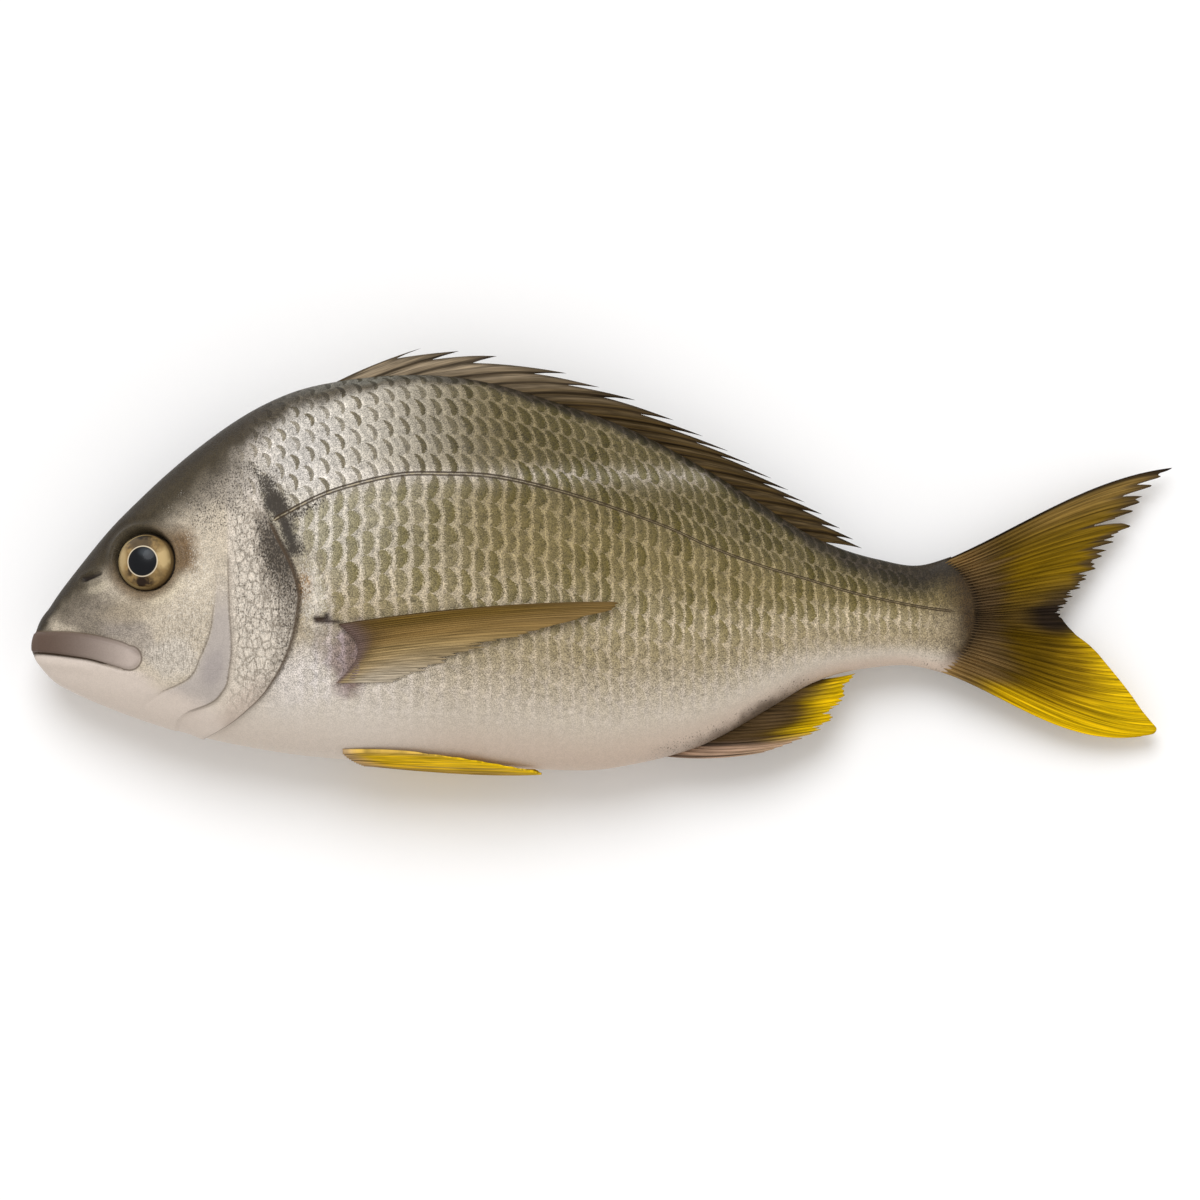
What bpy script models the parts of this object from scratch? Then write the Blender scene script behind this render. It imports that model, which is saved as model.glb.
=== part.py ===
"""A whole raw sea bream lying on its right side, with its left side up.

Units are metres and +Z is up. The snout points to -X, the tail to +X and the back to +Y.
A "station" is a distance behind the snout. A "height" is a distance above the fish's long axis,
towards the back. "Side" is a distance from the fish's middle plane, towards the left flank.
"""

import bmesh
import bpy
import numpy as np

# Size and pose
TOTAL_LENGTH = 0.320
SNOUT_X = -TOTAL_LENGTH / 2 - 0.0004
AXIS_Y = 0.0002
GAP = 0.0004
FLOOR = 0.0

# Outlines of the body, as (station, height)
BACK_LINE = (
    (0.0000, -0.0240), (0.0003, -0.0220), (0.0011, -0.0191), (0.0052, -0.0120), (0.0136, -0.0006),
    (0.0220, 0.0096), (0.0300, 0.0177), (0.0468, 0.0325), (0.0636, 0.0437), (0.0720, 0.0475),
    (0.0890, 0.0514), (0.1040, 0.0527), (0.1130, 0.0526), (0.1266, 0.0508), (0.1464, 0.0452),
    (0.1680, 0.0373), (0.1873, 0.0272), (0.2038, 0.0170), (0.2173, 0.0083), (0.2270, 0.0040),
    (0.2372, 0.0011), (0.2484, -0.0006), (0.2580, 0.0020), (0.2680, 0.0060),
)
BELLY_LINE = (
    (0.0000, -0.0248), (0.0007, -0.0264), (0.0020, -0.0285), (0.0060, -0.0330), (0.0106, -0.0357),
    (0.0207, -0.0402), (0.0386, -0.0463), (0.0582, -0.0510), (0.0732, -0.0535), (0.0882, -0.0550),
    (0.1168, -0.0568), (0.1422, -0.0577), (0.1590, -0.0578), (0.1690, -0.0562), (0.1786, -0.0540),
    (0.1868, -0.0514), (0.1929, -0.0486), (0.2010, -0.0440), (0.2100, -0.0386), (0.2170, -0.0344),
    (0.2234, -0.0318), (0.2368, -0.0291), (0.2447, -0.0286), (0.2568, -0.0313), (0.2680, -0.0360),
)

# Half the body's thickness, and the height of its middle plane above the table, as (station, size)
HALF_THICKNESS = (
    (0.0000, 0.0000), (0.0004, 0.0020), (0.0016, 0.0038), (0.0048, 0.0060), (0.0100, 0.0083),
    (0.0200, 0.0119), (0.0320, 0.0148), (0.0450, 0.0174), (0.0600, 0.0198), (0.0750, 0.0215),
    (0.0900, 0.0224), (0.1050, 0.0227), (0.1200, 0.0225), (0.1400, 0.0213), (0.1600, 0.0190),
    (0.1800, 0.0157), (0.2000, 0.0119), (0.2200, 0.0084), (0.2400, 0.0058), (0.2550, 0.0044),
    (0.2700, 0.0034),
)
MIDDLE_PLANE = (
    (0.0000, 0.0192), (0.0300, 0.0200), (0.0700, 0.0209), (0.1100, 0.0211), (0.1500, 0.0205),
    (0.1900, 0.0180), (0.2300, 0.0149), (0.2650, 0.0121), (0.2950, 0.0088), (0.3200, 0.0062),
)
BACK_FULLNESS = 1.95
BELLY_FULLNESS = 2.40
SECTION_ASPECT = 2.4

# Edges that the skin's columns follow, as (height, station)
CHEEK_EDGE = (
    (-0.0490, 0.0400), (-0.0411, 0.0444), (-0.0390, 0.0500), (-0.0353, 0.0540), (-0.0288, 0.0558),
    (-0.0110, 0.0557), (0.0082, 0.0552), (0.0500, 0.0550),
)
GILL_EDGE = (
    (-0.0490, 0.0470), (-0.0452, 0.0545), (-0.0400, 0.0613), (-0.0364, 0.0650), (-0.0319, 0.0682),
    (-0.0212, 0.0731), (-0.0150, 0.0744), (-0.0089, 0.0750), (-0.0017, 0.0733), (0.0073, 0.0688),
    (0.0176, 0.0645), (0.0500, 0.0630),
)
TAIL_ROOT = (
    (-0.0350, 0.2560), (-0.0313, 0.2575), (-0.0230, 0.2640), (-0.0140, 0.2662),
    (-0.0050, 0.2640), (0.0020, 0.2575), (0.0060, 0.2560),
)
CHEEK_MARK = 0.0550
GILL_MARK = 0.0720
BODY_END = 0.2660
HEAD_PLATE_LIMITS = (0.0200, 0.1100)
TAIL_SHIFT_START = 0.2300
SKIN_PASSES = 6

# Relief of the head's plates
GILL_STEP = 0.0012
CHEEK_STEP = 0.0006
STEP_RUN = 0.0008
PLATE_TOP = 0.0120
PLATE_FADE = 0.0120
LIP_RAISE = 0.0007
LIP_HEIGHTS = (-0.0060, 0.0020, 0.0065)
LIP_END = (0.0310, 0.0270)
RELIEF_FADE = 0.0030
TAIL_TAPER = 0.0040

# Spacing of the skin's columns, and the number of rows round a section
SNOUT_MARKS = (0.0, 0.0003, 0.0010, 0.0022, 0.0038)
TAIL_SHARES = (0.4, 0.1, 0.0)
HEAD_END = 0.0800
HEAD_SPACING = 0.0026
BODY_SPACING = 0.0070
SKIN_ROWS = 38

# Mouth and eyes, with the mouth as (station, height)
MOUTH_LINE = (
    (-0.0030, -0.0256), (0.0004, -0.0257), (0.0074, -0.0257), (0.0135, -0.0265), (0.0189, -0.0277),
    (0.0221, -0.0288), (0.0255, -0.0300),
)
MOUTH_GAP = 0.0009
MOUTH_CORNER_SHARE = 0.5
MOUTH_STEPS = 9
CUTTER_DEPTH = 0.045
EYE_STATION = 0.0320
EYE_HEIGHT = 0.0006
EYE_RADIUS = 0.0082
EYE_DEPTH = 0.0046
EYE_PROUD = 0.0016
EYE_TILT = 0.6
EYE_SEGMENTS = 24
EYE_RINGS = 12

# Fin rays, as (root station, root height, tip station, tip height, bow)
DORSAL_RAYS = (
    (0.0809, 0.0507, 0.1089, 0.0599, 0.0008), (0.0888, 0.0515, 0.1196, 0.0591, 0.0008),
    (0.0986, 0.0526, 0.1302, 0.0577, 0.0008), (0.1112, 0.0529, 0.1498, 0.0529, 0.0014),
    (0.1224, 0.0515, 0.1590, 0.0490, 0.0014), (0.1322, 0.0492, 0.1691, 0.0454, 0.0014),
    (0.1420, 0.0466, 0.1798, 0.0398, 0.0014), (0.1509, 0.0438, 0.1880, 0.0353, 0.0012),
    (0.1588, 0.0409, 0.1952, 0.0311, 0.0012), (0.1680, 0.0373, 0.2013, 0.0274, 0.0010),
    (0.1760, 0.0335, 0.2072, 0.0235, 0.0010), (0.1840, 0.0291, 0.2120, 0.0202, 0.0008),
    (0.1915, 0.0247, 0.2166, 0.0168, 0.0008), (0.1985, 0.0204, 0.2215, 0.0134, 0.0008),
    (0.2050, 0.0162, 0.2265, 0.0095, 0.0006), (0.2115, 0.0119, 0.2302, 0.0064, 0.0006),
    (0.2173, 0.0083, 0.2327, 0.0039, 0.0004),
)
TAIL_RAYS = (
    (0.2575, 0.0016, 0.3200, 0.0269, 0.0027), (0.2600, 0.0000, 0.3128, 0.0185, 0.0020),
    (0.2622, -0.0024, 0.3088, 0.0106, 0.0013), (0.2640, -0.0050, 0.3018, 0.0032, 0.0008),
    (0.2652, -0.0078, 0.2978, -0.0028, 0.0005), (0.2660, -0.0105, 0.2940, -0.0073, 0.0003),
    (0.2662, -0.0132, 0.2909, -0.0112, 0.0001), (0.2662, -0.0150, 0.2887, -0.0146, 0.0000),
    (0.2660, -0.0172, 0.2925, -0.0196, -0.0003), (0.2654, -0.0198, 0.2975, -0.0237, -0.0006),
    (0.2640, -0.0228, 0.3049, -0.0321, -0.0012), (0.2622, -0.0256, 0.3106, -0.0400, -0.0020),
    (0.2600, -0.0282, 0.3158, -0.0470, -0.0030), (0.2575, -0.0309, 0.3110, -0.0487, -0.0040),
)
ANAL_RAYS = (
    (0.1720, -0.0556, 0.2060, -0.0528, -0.0016), (0.1790, -0.0539, 0.2130, -0.0503, -0.0010),
    (0.1850, -0.0520, 0.2212, -0.0466, -0.0008), (0.1910, -0.0495, 0.2243, -0.0440, -0.0006),
    (0.1975, -0.0460, 0.2262, -0.0410, -0.0006), (0.2035, -0.0425, 0.2274, -0.0384, -0.0006),
    (0.2095, -0.0389, 0.2297, -0.0340, -0.0004), (0.2160, -0.0350, 0.2308, -0.0309, -0.0004),
)
PECTORAL_RAYS = (
    (0.0862, -0.0170, 0.1646, -0.0107, 0.0016), (0.0885, -0.0190, 0.1640, -0.0125, 0.0014),
    (0.0905, -0.0210, 0.1568, -0.0146, 0.0012), (0.0915, -0.0230, 0.1450, -0.0182, 0.0010),
    (0.0915, -0.0255, 0.1332, -0.0218, 0.0006), (0.0905, -0.0280, 0.1210, -0.0258, 0.0004),
    (0.0885, -0.0305, 0.1120, -0.0300, 0.0000), (0.0855, -0.0335, 0.1020, -0.0332, 0.0000),
)
HIDDEN_PECTORAL_RAYS = (
    (0.0880, -0.0300, 0.1560, -0.0440, 0.0016), (0.0890, -0.0316, 0.1540, -0.0458, 0.0014),
    (0.0892, -0.0334, 0.1450, -0.0474, 0.0010), (0.0886, -0.0354, 0.1290, -0.0478, 0.0006),
    (0.0872, -0.0374, 0.1130, -0.0470, 0.0002), (0.0850, -0.0392, 0.1000, -0.0450, 0.0000),
)
# The pelvic rays are (root station, root side, tip station, tip side, bow)
PELVIC_RAYS = (
    (0.0930, 0.0028, 0.1432, 0.0040, -0.0004), (0.0915, 0.0042, 0.1400, 0.0056, 0.0000),
    (0.0900, 0.0056, 0.1330, 0.0074, 0.0000), (0.0885, 0.0070, 0.1215, 0.0094, 0.0004),
    (0.0872, 0.0084, 0.1085, 0.0106, 0.0006),
)

# How many rays a fin has and steps along a ray, how far the membrane stops short of the tips, and how
# thick half a fin is at its (root, tip)
DORSAL_COUNT, DORSAL_STEPS = 17, 4
TAIL_COUNT, TAIL_STEPS = 25, 5
ANAL_COUNT, ANAL_STEPS = 11, 4
PECTORAL_COUNT, PECTORAL_STEPS = 12, 6
PELVIC_COUNT, PELVIC_STEPS = 6, 5
DORSAL_NOTCH, TAIL_NOTCH, ANAL_NOTCH, SOFT_NOTCH = 0.26, 0.07, 0.10, 0.05
MEMBRANE_SHARE = 0.5
THINNING = 0.6
TAIL_SKEW = 2
DORSAL_HALF = (0.0012, 0.0004)
TAIL_HALF = (0.0018, 0.0003)
ANAL_HALF = (0.0010, 0.0004)
PECTORAL_HALF = (0.0009, 0.0003)
HIDDEN_PECTORAL_HALF = (0.0004, 0.0003)
PELVIC_HALF = (0.0007, 0.0003)
PECTORAL_LIFT = 0.0014
HIDDEN_PECTORAL_SHARES = (0.55, 0.20)
HIDDEN_PECTORAL_LEAST = 0.0006
PELVIC_LIFT = 0.0012
PELVIC_DROOP = 0.0026
PELVIC_SPLAY = 0.0040

# Colours, as linear red, green, blue and alpha
SKIN_COLOUR = (0.36, 0.34, 0.27, 1.0)
EYE_COLOUR = (0.42, 0.27, 0.10, 1.0)
BROWN_FIN_COLOUR = (0.13, 0.09, 0.05, 1.0)
TAIL_COLOUR = (0.34, 0.22, 0.03, 1.0)
YELLOW_FIN_COLOUR = (0.72, 0.47, 0.02, 1.0)


def cubic(points):
    """A smooth curve through (x, y) points, as a function of x."""
    xs, ys = (np.array(values, float) for values in zip(*points))
    slopes = np.gradient(ys, xs)

    def value(x):
        x = np.clip(x, xs[0], xs[-1])
        left = np.clip(np.searchsorted(xs, x) - 1, 0, len(xs) - 2)
        step = xs[left + 1] - xs[left]
        t = (x - xs[left]) / step
        rise = t * t * (3 - 2 * t)
        start_bend = t * (1 - t) ** 2 * step * slopes[left]
        end_bend = t * t * (1 - t) * step * slopes[left + 1]
        return ys[left] + rise * (ys[left + 1] - ys[left]) + start_bend - end_bend

    return value


back_height = cubic(BACK_LINE)
belly_height = cubic(BELLY_LINE)
half_thickness = cubic(HALF_THICKNESS)
middle_plane = cubic(MIDDLE_PLANE)
cheek_station = cubic(CHEEK_EDGE)
gill_station = cubic(GILL_EDGE)
root_station = cubic(TAIL_ROOT)
mouth_height = cubic(MOUTH_LINE)


def ramp(x, start, end):
    """0 before start, 1 after end, and smooth between them. It also falls, if end is below start."""
    t = np.clip((x - start) / (end - start), 0, 1)
    return t * t * (3 - 2 * t)


def hat(x, start, peak, end):
    """0 up to start, 1 at peak and 0 again from end on."""
    return np.clip(np.minimum((x - start) / (peak - start), (end - x) / (end - peak)), 0, 1)


def widest_height(station):
    return (back_height(station) + belly_height(station)) / 2


def section_height(station, turn):
    """The height of the skin at a turn round the section, whose cosine is 1 at the back."""
    middle = widest_height(station)
    half = back_height(station) - middle
    return middle + half * turn


def skin_side(station, height):
    """How far the plain skin stands from the middle plane, at a point of the flank."""
    middle = widest_height(station)
    share = (height - middle) / (back_height(station) - middle)
    fullness = np.where(share > 0, BACK_FULLNESS, BELLY_FULLNESS)
    return half_thickness(station) * np.sqrt(np.clip(1 - np.abs(share) ** fullness, 0, 1))


def belly_skin(station, side):
    """The height of the belly's skin at a distance to the side of the middle plane."""
    middle = widest_height(station)
    share = (1 - (side / half_thickness(station)) ** 2) ** (1 / BELLY_FULLNESS)
    return middle + (belly_height(station) - middle) * share


def column_station(mark, height):
    """Where a column of the skin lies, so that some columns follow the head's plates and the tail's root."""
    front, behind = HEAD_PLATE_LIMITS
    cheek = hat(mark, front, CHEEK_MARK, GILL_MARK) * (cheek_station(height) - CHEEK_MARK)
    gill = hat(mark, CHEEK_MARK, GILL_MARK, behind) * (gill_station(height) - GILL_MARK)
    end = hat(mark, TAIL_SHIFT_START, BODY_END, 2 * BODY_END) * (root_station(height) - BODY_END)
    return mark + cheek + gill + end


def head_relief(mark, station, height):
    """How far the plates of the head and the lips stand over the plain skin."""
    below = ramp(height, PLATE_TOP + PLATE_FADE, PLATE_TOP)
    gill = ramp(mark, CHEEK_MARK + STEP_RUN, GILL_MARK) * (mark <= GILL_MARK) * GILL_STEP
    cheek = ramp(mark, HEAD_PLATE_LIMITS[0], CHEEK_MARK) * (mark <= CHEEK_MARK) * CHEEK_STEP
    above_mouth = height - mouth_height(station)
    lip = hat(above_mouth, *LIP_HEIGHTS) * ramp(station, *LIP_END) * LIP_RAISE
    return below * (gill + cheek) + lip


def section_turns(rows):
    """Turns round a section, evenly spaced along an ellipse as slim as the body's section."""
    fine = np.linspace(0, 2 * np.pi, 4001)
    lengths = np.hypot(np.gradient(SECTION_ASPECT * np.cos(fine)), np.gradient(np.sin(fine)))
    run = np.concatenate([[0], np.cumsum((lengths[1:] + lengths[:-1]) / 2)])
    return np.interp(np.linspace(0, run[-1], rows + 1), run, fine)


def skin_marks():
    """The columns of the skin, close together at the snout, at the plates' edges and at the tail's root."""
    cheek_end, gill_end = CHEEK_MARK + STEP_RUN, GILL_MARK + STEP_RUN
    spans = (
        (SNOUT_MARKS[-1] + HEAD_SPACING, CHEEK_MARK, HEAD_SPACING),
        (cheek_end, GILL_MARK, HEAD_SPACING),
        (gill_end, HEAD_END, HEAD_SPACING),
        (HEAD_END + BODY_SPACING, BODY_END - TAIL_TAPER, BODY_SPACING),
    )
    marks = [np.array(SNOUT_MARKS)]
    for start, end, spacing in spans:
        marks.append(np.linspace(start, end, round((end - start) / spacing) + 1))
    marks.append(BODY_END - TAIL_TAPER * np.array(TAIL_SHARES))
    return np.concatenate(marks)


def skin_points():
    """The skin as an array of points, one row of the array for each column of the skin."""
    marks, turns = skin_marks()[:, None], section_turns(SKIN_ROWS)[None, :]
    upright, sideways = np.cos(turns), np.sign(np.sin(turns)) * (np.abs(np.sin(turns)) > 1e-9)
    station = marks + 0 * turns
    for _ in range(SKIN_PASSES):
        station = column_station(marks, section_height(station, upright))
    height = section_height(station, upright)
    end_share = np.clip((marks - (BODY_END - TAIL_TAPER)) / TAIL_TAPER, 0, 1)
    side = skin_side(station, height)
    side = side + head_relief(marks, station, height) * np.minimum(1, side / RELIEF_FADE)
    side = side * np.sqrt(1 - end_share**2)
    z = np.maximum(middle_plane(station) + sideways * side, FLOOR)
    return np.stack([station + SNOUT_X, height + AXIS_Y, z], axis=-1)


def spread_rays(controls, count):
    """That many rays, spaced evenly between the control rays."""
    places = np.linspace(0, len(controls) - 1, count)
    return np.stack([np.interp(places, range(len(controls)), column) for column in zip(*controls)], 1)


def ray_points(controls, count, steps, notch, skew=1):
    """Points along each ray and along the membrane between rays, with each point's share of its column.

    Odd columns are membrane, and end short of the rays' tips by the notch. A greater skew moves the
    highest point of a ray's bow towards its tip.
    """
    rays = spread_rays(controls, 2 * count - 1)
    reach = np.where(np.arange(2 * count - 1) % 2, 1 - notch, 1)[:, None]
    share = np.linspace(0, 1, steps + 1)[None, :] * reach
    root, tip, bow = rays[:, None, 0:2], rays[:, None, 2:4], rays[:, 4, None]
    along = tip - root
    across = np.stack([-along[..., 1], along[..., 0]], -1) / np.linalg.norm(along, axis=-1)[..., None]
    top = (skew + 1) ** (skew + 1) / skew**skew
    bend = top * bow * share**skew * (1 - share)
    flat = root + along * share[..., None] + across * bend[..., None]
    return flat[..., 0], flat[..., 1], share / reach


def fin_thickness(columns, run, halves):
    """Half a fin's thickness: thick at the root, thin at the tip, full on the rays and thin between them."""
    root_half, tip_half = halves
    ridge = np.where(np.arange(columns) % 2, MEMBRANE_SHARE, 1.0)
    ridge[[0, -1]] = MEMBRANE_SHARE
    return (root_half + (tip_half - root_half) * run**THINNING) * ridge[:, None]


def closed_fin(name, middle, half, direction, material):
    """A closed mesh with a face on each side of the middle points, half thick along the direction."""
    middle = np.concatenate([middle[:1], middle, middle[-1:]])
    offset = np.pad(half, ((1, 1), (0, 0)))[..., None] * np.array(direction, float)
    upper, lower = middle + offset, middle - offset
    return sheet(name, np.concatenate([upper, lower[:, ::-1], upper[:, :1]], axis=1), material)


def sheet(name, points, material):
    """A closed mesh over an array of points whose edges meet."""
    columns, rows = points.shape[:2]
    mesh = bmesh.new()
    bmesh.ops.create_grid(mesh, x_segments=columns - 1, y_segments=rows - 1, size=1)
    mesh.verts.ensure_lookup_table()
    for vertex in mesh.verts:
        column = round((vertex.co.x + 1) / 2 * (columns - 1))
        row = round((vertex.co.y + 1) / 2 * (rows - 1))
        vertex.co = points[column, row]
    bmesh.ops.remove_doubles(mesh, verts=mesh.verts, dist=0.00002)
    bmesh.ops.dissolve_degenerate(mesh, edges=mesh.edges, dist=0.00002)
    loose = [edge for edge in mesh.edges if not edge.link_faces]
    bmesh.ops.delete(mesh, geom=loose, context="EDGES")
    bmesh.ops.triangulate(mesh, faces=mesh.faces)
    return finished(name, mesh, material)


def finished(name, mesh, material):
    """A smooth-shaded object in the fish's collection, with its faces pointing out."""
    mesh.normal_update()
    bmesh.ops.recalc_face_normals(mesh, faces=mesh.faces)
    data = bpy.data.meshes.new(name)
    mesh.to_mesh(data)
    mesh.free()
    data.shade_smooth()
    data.materials.append(material)
    made = bpy.data.objects.new(name, data)
    bpy.data.collections["sea_bream"].objects.link(made)
    return made


def surface_material(name, colour, roughness):
    material = bpy.data.materials.new(name)
    material.use_nodes = True
    shader = material.node_tree.nodes["Principled BSDF"]
    shader.inputs["Base Color"].default_value = colour
    shader.inputs["Roughness"].default_value = roughness
    shader.inputs["Metallic"].default_value = 0.0
    return material


def table_clearance(station, height):
    """How far the plain skin of the right flank stands above the table."""
    return np.maximum(middle_plane(station) - skin_side(station, height), FLOOR)


def in_fish(station, height, z):
    return np.stack([station + SNOUT_X, height + AXIS_Y, z], axis=-1)


def make_upright_fin(name, rays, halves, material):
    """A fin in the fish's middle plane."""
    station, height, run = rays
    half = fin_thickness(len(station), run, halves)
    return closed_fin(name, in_fish(station, height, middle_plane(station)), half, (0, 0, 1), material)


def make_pectoral_left(material):
    """The fin that lies along the shown flank."""
    station, height, run = ray_points(PECTORAL_RAYS, PECTORAL_COUNT, PECTORAL_STEPS, SOFT_NOTCH)
    half = fin_thickness(len(station), run, PECTORAL_HALF)
    clear = GAP + PECTORAL_HALF[0] + PECTORAL_LIFT * run
    z = middle_plane(station) + skin_side(station, height) + clear
    return closed_fin("pectoral_fin_left", in_fish(station, height, z), half, (0, 0, 1), material)


def make_pectoral_right(material):
    """The fin that is folded under the belly, between the right flank and the table."""
    station, height, run = ray_points(
        HIDDEN_PECTORAL_RAYS, PECTORAL_COUNT, PECTORAL_STEPS, SOFT_NOTCH
    )
    half = fin_thickness(len(station), run, HIDDEN_PECTORAL_HALF)
    share = np.interp(run, (0, 1), HIDDEN_PECTORAL_SHARES)
    z = np.maximum(table_clearance(station, height) * share, HIDDEN_PECTORAL_LEAST)
    return closed_fin("pectoral_fin_right", in_fish(station, height, z), half, (0, 0, 1), material)


def make_pelvic(name, sign, droop, splay, material):
    """One of the paired fins that lie back along the belly."""
    station, side, run = ray_points(PELVIC_RAYS, PELVIC_COUNT, PELVIC_STEPS, SOFT_NOTCH)
    side = side + splay * run
    half = fin_thickness(len(station), run, PELVIC_HALF)
    height = belly_skin(station, side) - GAP - PELVIC_HALF[0] - (PELVIC_LIFT + droop) * run
    z = middle_plane(station) + sign * side
    return closed_fin(name, in_fish(station, height, z), half, (0, 1, 0), material)


def eye_place(sign):
    """The middle of an eye and the way it looks."""
    station, height, step = EYE_STATION, EYE_HEIGHT, 0.001
    side = skin_side(station, height)
    slope_x = (skin_side(station + step, height) - skin_side(station - step, height)) / (2 * step)
    slope_y = (skin_side(station, height + step) - skin_side(station, height - step)) / (2 * step)
    look = np.array([-EYE_TILT * slope_x, -EYE_TILT * slope_y, 1.0])
    look = look / np.linalg.norm(look)
    surface = np.array([station + SNOUT_X, height + AXIS_Y, side])
    middle = surface - look * (EYE_DEPTH - EYE_PROUD)
    middle[2] = middle_plane(station) + sign * middle[2]
    look[2] = sign * look[2]
    return middle, look


def make_eyeball(name, sign, extra, material):
    """A flattened ball, larger all round by extra."""
    middle, look = eye_place(sign)
    mesh = bmesh.new()
    bmesh.ops.create_uvsphere(mesh, u_segments=EYE_SEGMENTS, v_segments=EYE_RINGS, radius=1)
    side_axis = np.cross((0.0, 1.0, 0.0), look)
    side_axis = side_axis / np.linalg.norm(side_axis)
    up_axis = np.cross(look, side_axis)
    for vertex in mesh.verts:
        across, up, out = vertex.co
        across, up = across * (EYE_RADIUS + extra), up * (EYE_RADIUS + extra)
        vertex.co = middle + across * side_axis + up * up_axis + out * (EYE_DEPTH + extra) * look
    return finished(name, mesh, material)


def make_mouth_cutter(material):
    """A thin wavy blade along the mouth, as deep as the snout is wide."""
    mesh = bmesh.new()
    bmesh.ops.create_grid(mesh, x_segments=MOUTH_STEPS, y_segments=1, size=1)
    start, end = MOUTH_LINE[0][0], MOUTH_LINE[-1][0]
    for vertex in mesh.verts:
        share = (vertex.co.x + 1) / 2
        station = start + (end - start) * share
        gap = MOUTH_GAP * (1 - (1 - MOUTH_CORNER_SHARE) * share)
        height = mouth_height(station) + vertex.co.y * gap / 2
        vertex.co = (station + SNOUT_X, height + AXIS_Y, 0)
    grown = bmesh.ops.extrude_face_region(mesh, geom=mesh.faces[:])
    raised = [item for item in grown["geom"] if isinstance(item, bmesh.types.BMVert)]
    bmesh.ops.translate(mesh, verts=raised, vec=(0, 0, CUTTER_DEPTH))
    return finished("mouth_cutter", mesh, material)


def cut(target, cutters):
    """Takes the cutters out of the target."""
    for cutter in cutters:
        bpy.data.collections["sea_bream"].objects.unlink(cutter)
        bpy.data.collections["cutters"].objects.link(cutter)
        cutter.hide_render = True
        cutter.display_type = "WIRE"
        modifier = target.modifiers.new("cut_" + cutter.name, "BOOLEAN")
        modifier.operation = "DIFFERENCE"
        modifier.object = cutter


def make_body(material):
    """The trunk and the head in one, with the mouth and the eye sockets cut in."""
    body = sheet("body", skin_points(), material)
    sockets = [make_eyeball(f"socket_{side}", sign, GAP, material) for side, sign in EYE_SIDES]
    cut(body, [*sockets, make_mouth_cutter(material)])
    return body


EYE_SIDES = (("left", 1), ("right", -1))


def main():
    for item in list(bpy.data.objects):
        bpy.data.objects.remove(item)
    for name in ("sea_bream", "cutters"):
        bpy.context.scene.collection.children.link(bpy.data.collections.new(name))

    skin = surface_material("skin", SKIN_COLOUR, 0.35)
    eye = surface_material("eye", EYE_COLOUR, 0.10)
    brown_fin = surface_material("brown_fin", BROWN_FIN_COLOUR, 0.45)
    tail = surface_material("tail_fin", TAIL_COLOUR, 0.45)
    yellow_fin = surface_material("yellow_fin", YELLOW_FIN_COLOUR, 0.40)

    make_body(skin)
    for side, sign in EYE_SIDES:
        make_eyeball(f"eye_{side}", sign, 0.0, eye)
    lifted = [(a, b + GAP, c, d + GAP, bow) for a, b, c, d, bow in DORSAL_RAYS]
    dorsal_rays = ray_points(lifted, DORSAL_COUNT, DORSAL_STEPS, DORSAL_NOTCH)
    make_upright_fin("dorsal_fin", dorsal_rays, DORSAL_HALF, brown_fin)
    behind = [(a + GAP, b, c, d, bow) for a, b, c, d, bow in TAIL_RAYS]
    tail_rays = ray_points(behind, TAIL_COUNT, TAIL_STEPS, TAIL_NOTCH, TAIL_SKEW)
    make_upright_fin("tail_fin", tail_rays, TAIL_HALF, tail)
    lowered = [(a, b - GAP, c, d, bow) for a, b, c, d, bow in ANAL_RAYS]
    anal_rays = ray_points(lowered, ANAL_COUNT, ANAL_STEPS, ANAL_NOTCH)
    make_upright_fin("anal_fin", anal_rays, ANAL_HALF, yellow_fin)
    make_pectoral_left(brown_fin)
    make_pectoral_right(brown_fin)
    make_pelvic("pelvic_fin_left", 1, 0.0, 0.0, yellow_fin)
    make_pelvic("pelvic_fin_right", -1, PELVIC_DROOP, PELVIC_SPLAY, yellow_fin)


main()
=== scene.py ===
"""The looks of a whole raw sea bream that lies on its right side, laid out as a Blender add-on.

Lengths are metres. A "station" is a distance behind the snout, and a "height" is a distance above the
fish's long axis, towards the back. The snout points to -X, the back to +Y and the shown flank to +Z.
"""

import math

import bmesh
import bpy
import numpy as np
from bpy.props import FloatProperty, FloatVectorProperty, IntProperty, PointerProperty
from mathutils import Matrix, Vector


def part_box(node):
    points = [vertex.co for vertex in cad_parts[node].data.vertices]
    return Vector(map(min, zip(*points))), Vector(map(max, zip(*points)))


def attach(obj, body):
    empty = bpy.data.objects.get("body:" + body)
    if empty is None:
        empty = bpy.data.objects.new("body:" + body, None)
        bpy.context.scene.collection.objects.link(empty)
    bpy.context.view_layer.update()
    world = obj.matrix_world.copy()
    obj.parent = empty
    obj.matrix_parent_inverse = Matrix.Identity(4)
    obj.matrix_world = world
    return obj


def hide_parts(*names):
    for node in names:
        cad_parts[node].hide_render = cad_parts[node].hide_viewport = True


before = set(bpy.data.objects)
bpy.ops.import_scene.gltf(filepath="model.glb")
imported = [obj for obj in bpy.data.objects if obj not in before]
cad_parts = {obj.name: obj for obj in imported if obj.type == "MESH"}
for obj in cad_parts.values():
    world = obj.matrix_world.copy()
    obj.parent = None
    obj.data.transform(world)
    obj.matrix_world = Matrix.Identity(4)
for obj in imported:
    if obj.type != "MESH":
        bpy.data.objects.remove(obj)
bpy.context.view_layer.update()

bl_info = {
    "name": "Sea Bream",
    "version": (1, 0, 0),
    "blender": (4, 5, 0),
    "location": "3D View > Sidebar > Sea Bream",
    "description": "Dresses a whole raw sea bream with scales, rayed fins and wet eyes",
    "category": "Object",
}

SNOUT_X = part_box("body")[0][0]
AXIS_Y = 0.0002
GAP = 0.0003

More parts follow.
